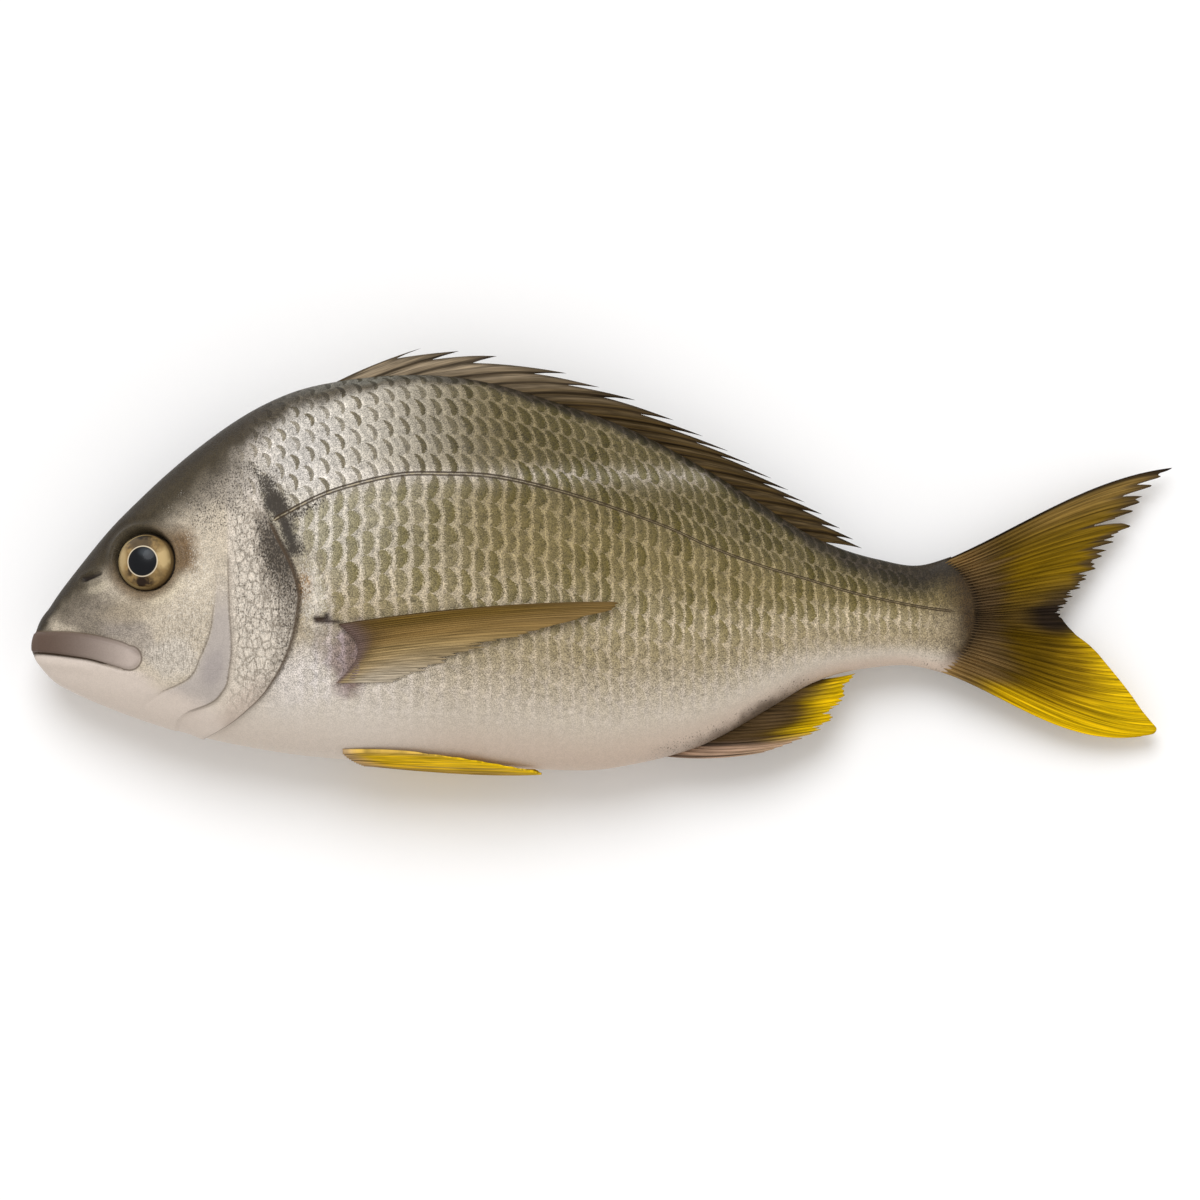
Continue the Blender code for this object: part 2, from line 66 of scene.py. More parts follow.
# Outlines of the body, as (station, height)
BACK_LINE = (
    (0.0000, -0.0240), (0.0003, -0.0220), (0.0011, -0.0191), (0.0052, -0.0120), (0.0136, -0.0006),
    (0.0220, 0.0096), (0.0300, 0.0177), (0.0468, 0.0325), (0.0636, 0.0437), (0.0720, 0.0475),
    (0.0890, 0.0514), (0.1040, 0.0527), (0.1130, 0.0526), (0.1266, 0.0508), (0.1464, 0.0452),
    (0.1680, 0.0373), (0.1873, 0.0272), (0.2038, 0.0170), (0.2173, 0.0083), (0.2270, 0.0040),
    (0.2372, 0.0011), (0.2484, -0.0006), (0.2580, 0.0020), (0.2680, 0.0060),
)
BELLY_LINE = (
    (0.0000, -0.0248), (0.0007, -0.0264), (0.0020, -0.0285), (0.0060, -0.0330), (0.0106, -0.0357),
    (0.0207, -0.0402), (0.0386, -0.0463), (0.0582, -0.0510), (0.0732, -0.0535), (0.0882, -0.0550),
    (0.1168, -0.0568), (0.1422, -0.0577), (0.1590, -0.0578), (0.1690, -0.0562), (0.1786, -0.0540),
    (0.1868, -0.0514), (0.1929, -0.0486), (0.2010, -0.0440), (0.2100, -0.0386), (0.2170, -0.0344),
    (0.2234, -0.0318), (0.2368, -0.0291), (0.2447, -0.0286), (0.2568, -0.0313), (0.2680, -0.0360),
)

# Half the body's thickness, and the height of its middle plane above the table, as (station, size)
HALF_THICKNESS = (
    (0.0000, 0.0000), (0.0004, 0.0020), (0.0016, 0.0038), (0.0048, 0.0060), (0.0100, 0.0083),
    (0.0200, 0.0119), (0.0320, 0.0148), (0.0450, 0.0174), (0.0600, 0.0198), (0.0750, 0.0215),
    (0.0900, 0.0224), (0.1050, 0.0227), (0.1200, 0.0225), (0.1400, 0.0213), (0.1600, 0.0190),
    (0.1800, 0.0157), (0.2000, 0.0119), (0.2200, 0.0084), (0.2400, 0.0058), (0.2550, 0.0044),
    (0.2700, 0.0034),
)
MIDDLE_PLANE = (
    (0.0000, 0.0192), (0.0300, 0.0200), (0.0700, 0.0209), (0.1100, 0.0211), (0.1500, 0.0205),
    (0.1900, 0.0180), (0.2300, 0.0149), (0.2650, 0.0121), (0.2950, 0.0088), (0.3200, 0.0062),
)
BACK_FULLNESS = 1.95
BELLY_FULLNESS = 2.40
SECTION_ASPECT = 2.4

# Edges of the head's plates and of the tail's root, as (height, station)
CHEEK_EDGE = (
    (-0.0490, 0.0400), (-0.0411, 0.0444), (-0.0390, 0.0500), (-0.0353, 0.0540), (-0.0288, 0.0558),
    (-0.0110, 0.0557), (0.0082, 0.0552), (0.0500, 0.0550),
)
GILL_EDGE = (
    (-0.0490, 0.0470), (-0.0452, 0.0545), (-0.0400, 0.0613), (-0.0364, 0.0650), (-0.0319, 0.0682),
    (-0.0212, 0.0731), (-0.0150, 0.0744), (-0.0089, 0.0750), (-0.0017, 0.0733), (0.0073, 0.0688),
    (0.0176, 0.0645), (0.0500, 0.0630),
)
CHEEK_FOLD = (
    (-0.0420, 0.0290), (-0.0362, 0.0364), (-0.0325, 0.0437), (-0.0263, 0.0476), (-0.0191, 0.0504),
    (-0.0109, 0.0516), (0.0000, 0.0520),
)
TAIL_ROOT = (
    (-0.0350, 0.2560), (-0.0313, 0.2575), (-0.0230, 0.2640), (-0.0140, 0.2662),
    (-0.0050, 0.2640), (0.0020, 0.2575), (0.0060, 0.2560),
)
CHEEK_MARK, GILL_MARK, BODY_END = 0.0550, 0.0720, 0.2660
HEAD_PLATE_LIMITS = (0.0200, 0.1100)
TAIL_SHIFT_START = 0.2300
TAIL_TAPER = 0.0040
TAIL_THINNING, TAIL_THIN_START = 0.50, 0.2380

# Lines along the body, as (station, height)
MOUTH_LINE = (
    (-0.0030, -0.0253), (0.0036, -0.0254), (0.0109, -0.0262), (0.0174, -0.0273), (0.0202, -0.0281),
    (0.0261, -0.0297),
)
LIP_TOP = (
    (-0.0030, -0.0188), (0.0020, -0.0191), (0.0109, -0.0193), (0.0202, -0.0207), (0.0275, -0.0230),
    (0.0308, -0.0249),
)
LIP_END = (0.0277, -0.0265, 0.0033)
LATERAL_LINE = (
    (0.0500, 0.0040), (0.0670, 0.0115), (0.0723, 0.0143), (0.0813, 0.0188), (0.0927, 0.0224),
    (0.1042, 0.0247), (0.1157, 0.0249), (0.1272, 0.0244), (0.1398, 0.0221), (0.1541, 0.0182),
    (0.1684, 0.0134), (0.1790, 0.0095), (0.1900, 0.0045), (0.2043, -0.0008), (0.2186, -0.0050),
    (0.2292, -0.0081), (0.2418, -0.0109), (0.2541, -0.0130), (0.2700, -0.0140),
)

# Short lines on the skin, each from one (station, height) to another
NOSTRIL = ((0.0151, -0.0045), (0.0193, -0.0028))
BLOTCH = ((0.0668, 0.0208), (0.0706, 0.0155))
# The painted shadow of the gill opening, behind the gill cover's upper edge
GILL_OPENING_SHADOW = ((0.0710, 0.0118), (0.0736, 0.0042))
BLOTCH_GRAINS = ((0.0662, 0.0215), (0.0708, 0.0152))
NAPE_GRAINS = ((0.0620, 0.0268), (0.0662, 0.0215))
# Speckles in the painted shadow of the gill opening
OPENING_SHADOW_SPECKLES = ((0.0700, 0.0132), (0.0738, 0.0045))
FIN_NOTCH = ((0.0800, -0.0160), (0.0850, -0.0150))
FIN_NOTCH_SMOOTH = ((0.0800, -0.0160), (0.0845, -0.0152))
FIN_NOTCH_SHADE = ((0.0806, -0.0157), (0.0880, -0.0168))
FIN_NOTCH_BRANCH = ((0.0812, -0.0158), (0.0836, -0.0138))
FIN_CREASE = ((0.0860, -0.0345), (0.0905, -0.0290))

# The scales' length and width along the body, as (station, size)
SCALE_LENGTH = (
    (0.0000, 0.0040), (0.0700, 0.0040), (0.0900, 0.0044), (0.1200, 0.0044), (0.1500, 0.0037),
    (0.1750, 0.0033), (0.2050, 0.0031), (0.2700, 0.0027),
)
SCALE_WIDTH = (
    (0.0000, 0.0052), (0.0700, 0.0054), (0.1200, 0.0058), (0.1750, 0.0056), (0.2200, 0.0048),
    (0.2700, 0.0040),
)
SCALE_BULGE = 0.22
SCALE_LEAN_ABOVE, SCALE_LEAN_BELOW = 0.50, 0.12
LOWER_SCALE_GROWTH = 1.18

# How far down the brown forehead and the darkest edge of the back reach, as (station, depth)
FOREHEAD_DEPTH = (
    (0.0000, 0.0050), (0.0060, 0.0070), (0.0150, 0.0108), (0.0300, 0.0168), (0.0400, 0.0178),
    (0.0500, 0.0150), (0.0600, 0.0116), (0.0750, 0.0070), (0.0900, 0.0042), (0.1000, 0.0032),
    (0.2700, 0.0038),
)
EDGE_DEPTH = (
    (0.0000, 0.0035), (0.0300, 0.0042), (0.0600, 0.0035), (0.0800, 0.0022), (0.1000, 0.0014),
    (0.1300, 0.0020), (0.1600, 0.0024), (0.2000, 0.0027), (0.2243, 0.0045), (0.2430, 0.0070),
    (0.2700, 0.0060),
)

# The dark speckled shade in front of the gill cover's edge, as (height, reach) and (height, darkness)
GILL_SHADE_REACH = (
    (-0.0400, 0.0014), (-0.0260, 0.0036), (-0.0120, 0.0078), (-0.0040, 0.0086), (0.0040, 0.0068),
    (0.0120, 0.0044),
)
GILL_SHADE_DARKNESS = (
    (-0.0400, 0.12), (-0.0220, 0.40), (-0.0080, 0.70), (0.0000, 0.98), (0.0080, 1.00), (0.0160, 0.10),
)

# Soft marks: name, station, height, two reaches, turn in degrees, softness, strength and colour. Those in
# front of the chest's start belong to the head. The gleams and the chest's glow are painted highlights.
CHEST_START = 0.0740
SOFT_MARKS = (
    ("taupe snout", 0.0172, -0.0134, 0.0155, 0.0088, -18, 0.7, 0.92, (0.185, 0.155, 0.120)),
    ("taupe cheek", 0.0289, -0.0205, 0.0095, 0.0060, -20, 0.7, 0.75, (0.330, 0.285, 0.245)),
    ("under the eye", 0.0300, -0.0120, 0.0110, 0.0050, 10, 0.7, 0.70, (0.370, 0.305, 0.220)),
    ("nostril gleam", 0.0184, -0.0066, 0.0046, 0.0024, 15, 0.7, 0.80, (0.540, 0.470, 0.355)),
    ("eye gleam", 0.0388, -0.0078, 0.0080, 0.0032, 38, 0.7, 0.90, (0.660, 0.575, 0.430)),
    ("cheek gleam", 0.0470, -0.0035, 0.0062, 0.0075, 0, 0.8, 0.80, (0.640, 0.560, 0.440)),
    ("behind the eye", 0.0426, 0.0040, 0.0062, 0.0092, 12, 0.8, 0.95, (0.165, 0.098, 0.042)),
    ("temple", 0.0560, 0.0235, 0.0150, 0.0085, 35, 0.8, 0.85, (0.300, 0.262, 0.215)),
    ("cheek foot", 0.0400, -0.0262, 0.0085, 0.0070, -20, 0.8, 0.75, (0.600, 0.545, 0.475)),
    ("plate shade", 0.0514, -0.0290, 0.0036, 0.0070, -22, 0.8, 0.60, (0.350, 0.310, 0.300)),
    ("gill foot", 0.0600, -0.0400, 0.0120, 0.0070, 35, 0.8, 0.80, (0.520, 0.430, 0.360)),
    ("shoulder gleam", 0.0800, -0.0105, 0.0056, 0.0115, 8, 0.9, 0.75, (0.610, 0.545, 0.450)),
    ("chest glow", 0.0760, -0.0330, 0.0120, 0.0105, 30, 0.9, 0.90, (0.640, 0.585, 0.535)),
    ("nape", 0.0745, 0.0310, 0.0150, 0.0130, 35, 0.9, 0.60, (0.300, 0.270, 0.220)),
    ("fin's armpit", 0.0842, -0.0235, 0.0050, 0.0090, 10, 0.8, 0.55, (0.380, 0.310, 0.290)),
)

EYE_STATION, EYE_HEIGHT, EYE_RADIUS, EYE_DEPTH = 0.0320, 0.0006, 0.0082, 0.0046
EYE_PROUD, EYE_TILT = 0.0016, 0.6

# Colours of small marks that have no setting of their own
# The second is painted shade in the crease round the eye
SOCKET_BROWN, EYE_CREASE_SHADE = (0.150, 0.100, 0.052), (0.018, 0.013, 0.009)
SHOULDER_EDGE = (0.127, 0.120, 0.089)
NOSTRIL_PAINTED_SHADE = (0.016, 0.011, 0.008)
GILL_SHADE = (0.085, 0.068, 0.052)
RUST = (0.270, 0.160, 0.072)
# The lit front of the pectoral fin's fleshy root, as painted light
FIN_ROOT_PAINTED_LIGHT = (0.330, 0.255, 0.240)
NOTCH_PAINTED_SHADE = (0.040, 0.024, 0.015)
# Painted shade in the grooves and under the raised edges of the head's plates and the lip, and the lateral
# line's own brown
GROOVE_PAINTED_SHADE, LATERAL_BROWN = (0.085, 0.055, 0.032), (0.040, 0.024, 0.010)
# GLITTER is the colour of painted glints of light on the silvery skin
GLITTER, BRISTLE, PEPPER = (0.84, 0.78, 0.68, 1.0), (0.17, 0.138, 0.105, 1.0), (0.050, 0.041, 0.031, 1.0)
TAIL_BUFF = (0.310, 0.195, 0.055)
TAIL_ROOT_MIDDLE, TAIL_ROOT_SIDES = (0.150, 0.095, 0.044), (0.320, 0.200, 0.072)
TAIL_START_UPPER, TAIL_START_LOWER = (0.120, 0.080, 0.044), (0.360, 0.265, 0.160)
ANAL_BROWN = (0.090, 0.055, 0.024)
PECTORAL_PALE, PECTORAL_SILVER = (0.420, 0.340, 0.225), (0.520, 0.450, 0.350)
PECTORAL_TAN = (0.250, 0.160, 0.060)
PELVIC_OCHRE, PELVIC_YELLOW = (0.500, 0.320, 0.060), (0.720, 0.460, 0.012)

# Fin rays, as (root station, root height, tip station, tip height, bow)
DORSAL_RAYS = (
    (0.0809, 0.0507, 0.1089, 0.0599, 0.0008), (0.0888, 0.0515, 0.1196, 0.0591, 0.0008),
    (0.0986, 0.0526, 0.1302, 0.0577, 0.0008), (0.1112, 0.0529, 0.1498, 0.0529, 0.0014),
    (0.1224, 0.0515, 0.1590, 0.0490, 0.0014), (0.1322, 0.0492, 0.1691, 0.0454, 0.0014),
    (0.1420, 0.0466, 0.1798, 0.0398, 0.0014), (0.1509, 0.0438, 0.1880, 0.0353, 0.0012),
    (0.1588, 0.0409, 0.1952, 0.0311, 0.0012), (0.1680, 0.0373, 0.2013, 0.0274, 0.0010),
    (0.1760, 0.0335, 0.2072, 0.0235, 0.0010), (0.1840, 0.0291, 0.2120, 0.0202, 0.0008),
    (0.1915, 0.0247, 0.2166, 0.0168, 0.0008), (0.1985, 0.0204, 0.2215, 0.0134, 0.0008),
    (0.2050, 0.0162, 0.2265, 0.0095, 0.0006), (0.2115, 0.0119, 0.2302, 0.0064, 0.0006),
    (0.2173, 0.0083, 0.2327, 0.0039, 0.0004),
)
TAIL_RAYS = (
    (0.2545, 0.0003, 0.3200, 0.0269, 0.0029), (0.2594, -0.0006, 0.3128, 0.0185, 0.0020),
    (0.2622, -0.0024, 0.3088, 0.0106, 0.0013), (0.2640, -0.0050, 0.3018, 0.0032, 0.0008),
    (0.2652, -0.0078, 0.2978, -0.0028, 0.0005), (0.2660, -0.0105, 0.2940, -0.0073, 0.0003),
    (0.2662, -0.0132, 0.2909, -0.0112, 0.0001), (0.2662, -0.0150, 0.2887, -0.0146, 0.0000),
    (0.2660, -0.0172, 0.2925, -0.0196, -0.0003), (0.2654, -0.0198, 0.2975, -0.0237, -0.0006),
    (0.2640, -0.0228, 0.3049, -0.0321, -0.0012), (0.2622, -0.0256, 0.3106, -0.0400, -0.0020),
    (0.2592, -0.0278, 0.3158, -0.0470, -0.0030), (0.2535, -0.0300, 0.3110, -0.0487, -0.0043),
)
ANAL_RAYS = (
    (0.1720, -0.0556, 0.2060, -0.0528, -0.0016), (0.1790, -0.0539, 0.2130, -0.0503, -0.0010),
    (0.1850, -0.0520, 0.2212, -0.0466, -0.0008), (0.1910, -0.0495, 0.2243, -0.0440, -0.0006),
    (0.1975, -0.0460, 0.2262, -0.0410, -0.0006), (0.2035, -0.0425, 0.2274, -0.0384, -0.0006),
    (0.2095, -0.0389, 0.2297, -0.0340, -0.0004), (0.2160, -0.0350, 0.2308, -0.0309, -0.0004),
)
PECTORAL_RAYS = (
    (0.0862, -0.0170, 0.1646, -0.0107, 0.0016), (0.0885, -0.0190, 0.1640, -0.0125, 0.0014),
    (0.0905, -0.0210, 0.1568, -0.0146, 0.0012), (0.0915, -0.0230, 0.1450, -0.0182, 0.0010),
    (0.0915, -0.0255, 0.1332, -0.0218, 0.0006), (0.0905, -0.0280, 0.1210, -0.0258, 0.0004),
    (0.0885, -0.0305, 0.1120, -0.0300, 0.0000), (0.0855, -0.0335, 0.1020, -0.0332, 0.0000),
)
HIDDEN_PECTORAL_RAYS = (
    (0.0880, -0.0300, 0.1560, -0.0440, 0.0016), (0.0890, -0.0316, 0.1540, -0.0458, 0.0014),
    (0.0892, -0.0334, 0.1450, -0.0474, 0.0010), (0.0886, -0.0354, 0.1290, -0.0478, 0.0006),
    (0.0872, -0.0374, 0.1130, -0.0470, 0.0002), (0.0850, -0.0392, 0.1000, -0.0450, 0.0000),
)
# The pelvic rays are (root station, root side, tip station, tip side, bow)
PELVIC_RAYS = (
    (0.0930, 0.0028, 0.1432, 0.0040, -0.0004), (0.0915, 0.0042, 0.1400, 0.0056, 0.0000),
    (0.0900, 0.0056, 0.1330, 0.0074, 0.0000), (0.0885, 0.0070, 0.1215, 0.0094, 0.0004),
    (0.0872, 0.0084, 0.1085, 0.0106, 0.0006),
)
PECTORAL_LIFT, PELVIC_LIFT, PELVIC_DROOP, PELVIC_SPLAY = 0.0014, 0.0010, 0.0026, 0.0040
ROOT_SINK = 0.0022
TAIL_SINK = 0.20
RAY_JOINTS = 60.0

# Slits in the tail's upper lobe, as (share across the fin, share of the ray's length)
TAIL_SLITS = (
    (0.060, 0.15), (0.132, 0.27), (0.176, 0.10), (0.212, 0.16), (0.262, 0.09), (0.305, 0.14), (0.352, 0.08),
    (0.398, 0.12), (0.440, 0.08), (0.476, 0.12), (0.515, 0.07),
)
HIDDEN_PECTORAL_SHARES = (0.55, 0.20)
HIDDEN_PECTORAL_LEAST = 0.0006

# The stage: half the floor's width, the point that the camera looks at, and the light
FLOOR_HALF = 12.0
LOOK_AT = (-0.0013, -0.0101, 0.020)
SENSOR_WIDTH = 36.0
SKY_COLOUR, SUN_COLOUR = (1.0, 0.965, 0.925, 1.0), (0.97, 1.0, 1.05)
SUN_SPREAD, SUN_TURN, SUN_ROLL = math.radians(36), math.radians(-34), math.radians(-6)


def colour_setting(name, description, value):
    """A colour that the add-on's user can change."""
    return FloatVectorProperty(
        name=name, description=description, default=value, subtype="COLOR", min=0.0, max=1.0
    )


def length_setting(name, description, value):
    """A length that the add-on's user can change."""
    return FloatProperty(
        name=name, description=description, default=value, min=0.0, precision=5, unit="LENGTH"
    )


class BreamSkinSettings(bpy.types.PropertyGroup):
    """Sizes and colours of the skin."""

    columns: IntProperty(name="Columns", description="Columns of the skin's mesh", default=548, min=60)
    left_rows: IntProperty(name="Left rows", description="Rows over the shown flank", default=128, min=16)
    right_rows: IntProperty(name="Right rows", description="Rows over the lower flank", default=46, min=8)
    scale_relief: length_setting("Scale relief", "How far a scale's edge stands up", 0.00020)
    gill_step: length_setting("Gill cover step", "How far the gill cover's edge stands up", 0.0012)
    cheek_step: length_setting("Cheek plate step", "How far the cheek plate's edge stands up", 0.0006)
    belly: colour_setting("Belly", "The plain skin of the belly", (0.565, 0.495, 0.408))
    belly_edge: colour_setting("Belly edge", "The pinkish bottom of the belly", (0.590, 0.475, 0.385))
    chest: colour_setting("Chest", "The pale skin behind the gill cover", (0.660, 0.600, 0.535))
    silver: colour_setting("Silver", "The light scales of the shoulder", (0.430, 0.385, 0.300))
    low_flank: colour_setting("Low flank", "The scales above the belly", (0.350, 0.280, 0.174))
    olive: colour_setting("Olive", "The scales of the middle of the flank", (0.194, 0.146, 0.065))
    back: colour_setting("Back", "The scales under the back fin", (0.112, 0.085, 0.038))
    edge: colour_setting("Back edge", "The dark edge of the back", (0.030, 0.022, 0.013))
    forehead: colour_setting("Forehead", "The dark top of the head", (0.050, 0.038, 0.021))
    cheek: colour_setting("Cheek", "The bright cheek", (0.555, 0.480, 0.375))
    gill_plate: colour_setting("Gill cover", "The gill cover", (0.680, 0.605, 0.515))
    lilac: colour_setting("Cheek rim", "The smooth band behind the cheek", (0.440, 0.395, 0.370))
    jaw: colour_setting("Jaw", "The lower jaw and the throat", (0.645, 0.560, 0.490))
    lip: colour_setting("Lip", "The upper lip at the snout", (0.110, 0.072, 0.054))
    lip_end: colour_setting("Lip end", "The upper lip's rounded end", (0.500, 0.420, 0.370))
    blotch: colour_setting("Blotch", "The dark mark above the gill cover", (0.030, 0.026, 0.023))
    tail_root: colour_setting("Tail root", "The skin where the tail fin starts", (0.050, 0.029, 0.010))
    anal_root: colour_setting("Anal root", "The skin where the anal fin starts", (0.110, 0.076, 0.048))


class BreamFinSettings(bpy.types.PropertyGroup):
    """Sizes and colours of the fins."""

    steps: IntProperty(name="Steps", description="Steps along a fin ray", default=48, min=6)
    ray_share: FloatProperty(
        name="Membrane", description="Thickness between rays against thickness on them", default=0.45
    )
    brown: colour_setting("Brown", "The back fin", (0.068, 0.042, 0.013))
    pale: colour_setting("Pale membrane", "The back fin between its spines", (0.350, 0.275, 0.185))
    dark: colour_setting("Dark", "Spines, tips and the tail's fork", (0.016, 0.010, 0.007))
    tip: colour_setting("Tips", "The upper lobe's frayed tips", (0.060, 0.040, 0.022))
    golden: colour_setting("Golden", "The tail's upper lobe", (0.200, 0.118, 0.003))
    umber: colour_setting("Umber", "The tail's brown parts", (0.115, 0.070, 0.020))
    deep_gold: colour_setting("Deep gold", "The shaded yellow", (0.110, 0.062, 0.002))
    yellow: colour_setting("Yellow", "The tail's lower lobe", (0.430, 0.255, 0.004))
    bright: colour_setting("Bright yellow", "The yellow edges and tips", (0.700, 0.455, 0.002))
    # The gleam is a painted highlight along the pelvic fins' ridge
    gleam: colour_setting("Gleam", "The bright ridge of the pelvic fins", (0.700, 0.470, 0.080))
    olive: colour_setting("Olive", "The pectoral fins", (0.175, 0.105, 0.022))
    amber: colour_setting("Amber", "The middle of the pectoral fins", (0.285, 0.178, 0.058))
    clear: colour_setting("Clear", "The thin parts of the pectoral fins", (0.350, 0.245, 0.105))
    root: colour_setting("Root", "The dark root of the fins", (0.118, 0.073, 0.033))
    flesh: colour_setting("Flesh", "The anal fin's front", (0.460, 0.310, 0.215))
    peach: colour_setting("Peach", "The pale roots of the pelvic fins", (0.490, 0.335, 0.190))
    plum: colour_setting("Plum", "The skin where the pectoral fin starts", (0.205, 0.140, 0.124))


class BreamEyeSettings(bpy.types.PropertyGroup):
    """Sizes and colours of the eyes."""

    pupil: FloatProperty(name="Pupil", description="The pupil's share of the eye", default=0.500)
    ring: FloatProperty(name="Ring", description="The pale ring's share of the eye", default=0.535)
    iris: colour_setting("Iris", "The golden iris", (0.215, 0.140, 0.055))
    iris_shade: colour_setting("Iris shade", "The dark bottom of the iris", (0.020, 0.009, 0.003))
    glow: colour_setting("Glow", "The bright parts of the iris", (0.600, 0.440, 0.210))
    ring_colour: colour_setting("Ring colour", "The pale ring round the pupil", (0.700, 0.600, 0.440))
    rim: colour_setting("Rim", "The bright rim round the iris", (0.340, 0.255, 0.120))


class BreamStageSettings(bpy.types.PropertyGroup):
    """The floor, the light and the camera."""

    floor: colour_setting("Floor", "The pale floor", (0.98, 0.98, 0.98))
    sky: FloatProperty(name="Sky", description="Strength of the light from all round", default=0.70)
    sun: FloatProperty(name="Key light", description="Strength of the soft key light", default=1.56)
    lens: FloatProperty(name="Lens", description="Focal length of the camera", default=400.0, unit="CAMERA")
    view_width: length_setting("View width", "How much of the table the picture shows", 0.3362)


class BreamSettings(bpy.types.PropertyGroup):
    """Everything that the add-on's user can change."""

    skin: PointerProperty(type=BreamSkinSettings)
    fins: PointerProperty(type=BreamFinSettings)
    eyes: PointerProperty(type=BreamEyeSettings)
    stage: PointerProperty(type=BreamStageSettings)


def cubic(points):
    """A smooth curve through (x, y) points, as a function of x."""
    xs, ys = (np.array(values, float) for values in zip(*points))
    slopes = np.gradient(ys, xs)

    def value(x):
        x = np.clip(x, xs[0], xs[-1])
        left = np.clip(np.searchsorted(xs, x) - 1, 0, len(xs) - 2)
        step = xs[left + 1] - xs[left]
        t = (x - xs[left]) / step
        rise = t * t * (3 - 2 * t)
        start_bend = t * (1 - t) ** 2 * step * slopes[left]
        end_bend = t * t * (1 - t) * step * slopes[left + 1]
        return ys[left] + rise * (ys[left + 1] - ys[left]) + start_bend - end_bend

    return value


back_height = cubic(BACK_LINE)
belly_height = cubic(BELLY_LINE)
half_thickness = cubic(HALF_THICKNESS)
middle_plane = cubic(MIDDLE_PLANE)
cheek_station = cubic(CHEEK_EDGE)
gill_station = cubic(GILL_EDGE)
fold_station = cubic(CHEEK_FOLD)
root_station = cubic(TAIL_ROOT)
mouth_height = cubic(MOUTH_LINE)
lip_height = cubic(LIP_TOP)
lateral_height = cubic(LATERAL_LINE)
scale_length = cubic(SCALE_LENGTH)
scale_width = cubic(SCALE_WIDTH)
forehead_depth = cubic(FOREHEAD_DEPTH)
edge_depth = cubic(EDGE_DEPTH)
gill_shade_reach = cubic(GILL_SHADE_REACH)
gill_shade_darkness = cubic(GILL_SHADE_DARKNESS)


def ramp(x, start, end):
    """0 before start, 1 after end, and smooth between them. It also falls, if end is below start."""
    t = np.clip((x - start) / (end - start), 0, 1)
    return t * t * (3 - 2 * t)


def hat(x, start, peak, end):
    """0 up to start, 1 at peak and 0 again from end on."""
    return np.clip(np.minimum((x - start) / (peak - start), (end - x) / (end - peak)), 0, 1)


def bell(x, width):
    """1 at x = 0, and falling smoothly on both sides."""
    return np.exp(-((x / width) ** 2))


def mottle(x, y, size, seed):
    """Seeded smooth noise between -1 and 1, with lumps of about the size."""
    count = 128
    lattice = np.random.default_rng(seed).uniform(-1, 1, (count, count))
    column, row = np.floor(x / size).astype(int), np.floor(y / size).astype(int)
    tx, ty = x / size - column, y / size - row
    tx, ty = tx * tx * (3 - 2 * tx), ty * ty * (3 - 2 * ty)

    def corner(i, j):
        return lattice[(column + i) % count, (row + j) % count]

    near = corner(0, 0) * (1 - tx) + corner(1, 0) * tx
    far = corner(0, 1) * (1 - tx) + corner(1, 1) * tx
    return near * (1 - ty) + far * ty


def curve_distance(across, along, curve):
    """Signed distance from a curve that gives across from along."""
    step = 0.0002
    slope = (curve(along + step) - curve(along - step)) / (2 * step)
    return (across - curve(along)) / np.sqrt(1 + slope**2)


def segment_distance(x, y, start, end):
    """Distance from the straight line between two points."""
    start, end = np.array(start), np.array(end)
    run = end - start
    t = np.clip(((x - start[0]) * run[0] + (y - start[1]) * run[1]) / (run @ run), 0, 1)
    return np.hypot(x - start[0] - t * run[0], y - start[1] - t * run[1])


def widest_height(station):
    """The height halfway between the back and the belly."""
    return (back_height(station) + belly_height(station)) / 2


def skin_side(station, height):
    """How far the plain skin stands from the middle plane, at a point of the flank."""
    middle = widest_height(station)
    share = (height - middle) / (back_height(station) - middle)
    fullness = np.where(share > 0, BACK_FULLNESS, BELLY_FULLNESS)
    return half_thickness(station) * np.sqrt(np.clip(1 - np.abs(share) ** fullness, 0, 1))


def belly_skin(station, side):
    """The height of the belly's skin at a distance to the side of the middle plane."""
    middle = widest_height(station)
    share = (1 - (side / half_thickness(station)) ** 2) ** (1 / BELLY_FULLNESS)
    return middle + (belly_height(station) - middle) * share


def column_station(mark, height):
    """Where a column of the skin lies, so that some columns follow the head's plates and the tail's root."""
    front, behind = HEAD_PLATE_LIMITS
    cheek = hat(mark, front, CHEEK_MARK, GILL_MARK) * (cheek_station(height) - CHEEK_MARK)
    gill = hat(mark, CHEEK_MARK, GILL_MARK, behind) * (gill_station(height) - GILL_MARK)
    end = hat(mark, TAIL_SHIFT_START, BODY_END, 2 * BODY_END) * (root_station(height) - BODY_END)
    return mark + cheek + gill + end


def section_turns(rows, start, end):
    """Turns between start and end, evenly spaced along an ellipse as slim as the body's section."""
    fine = np.linspace(start, end, 2001)
    lengths = np.hypot(np.gradient(SECTION_ASPECT * np.cos(fine)), np.gradient(np.sin(fine)))
    run = np.concatenate([[0], np.cumsum((lengths[1:] + lengths[:-1]) / 2)])
    return np.interp(np.linspace(0, run[-1], rows + 1), run, fine)


def in_fish(station, height, z):
    """Points of the frame, from stations and heights along the fish."""
    return np.stack([station + SNOUT_X, height + AXIS_Y, z], axis=-1)


def blend_colours(first, second, share):
    """One colour field laid over another, by a share from 0 to 1."""
    share = np.clip(share, 0, 1)[..., None]
    return np.asarray(first) * (1 - share) + np.asarray(second) * share


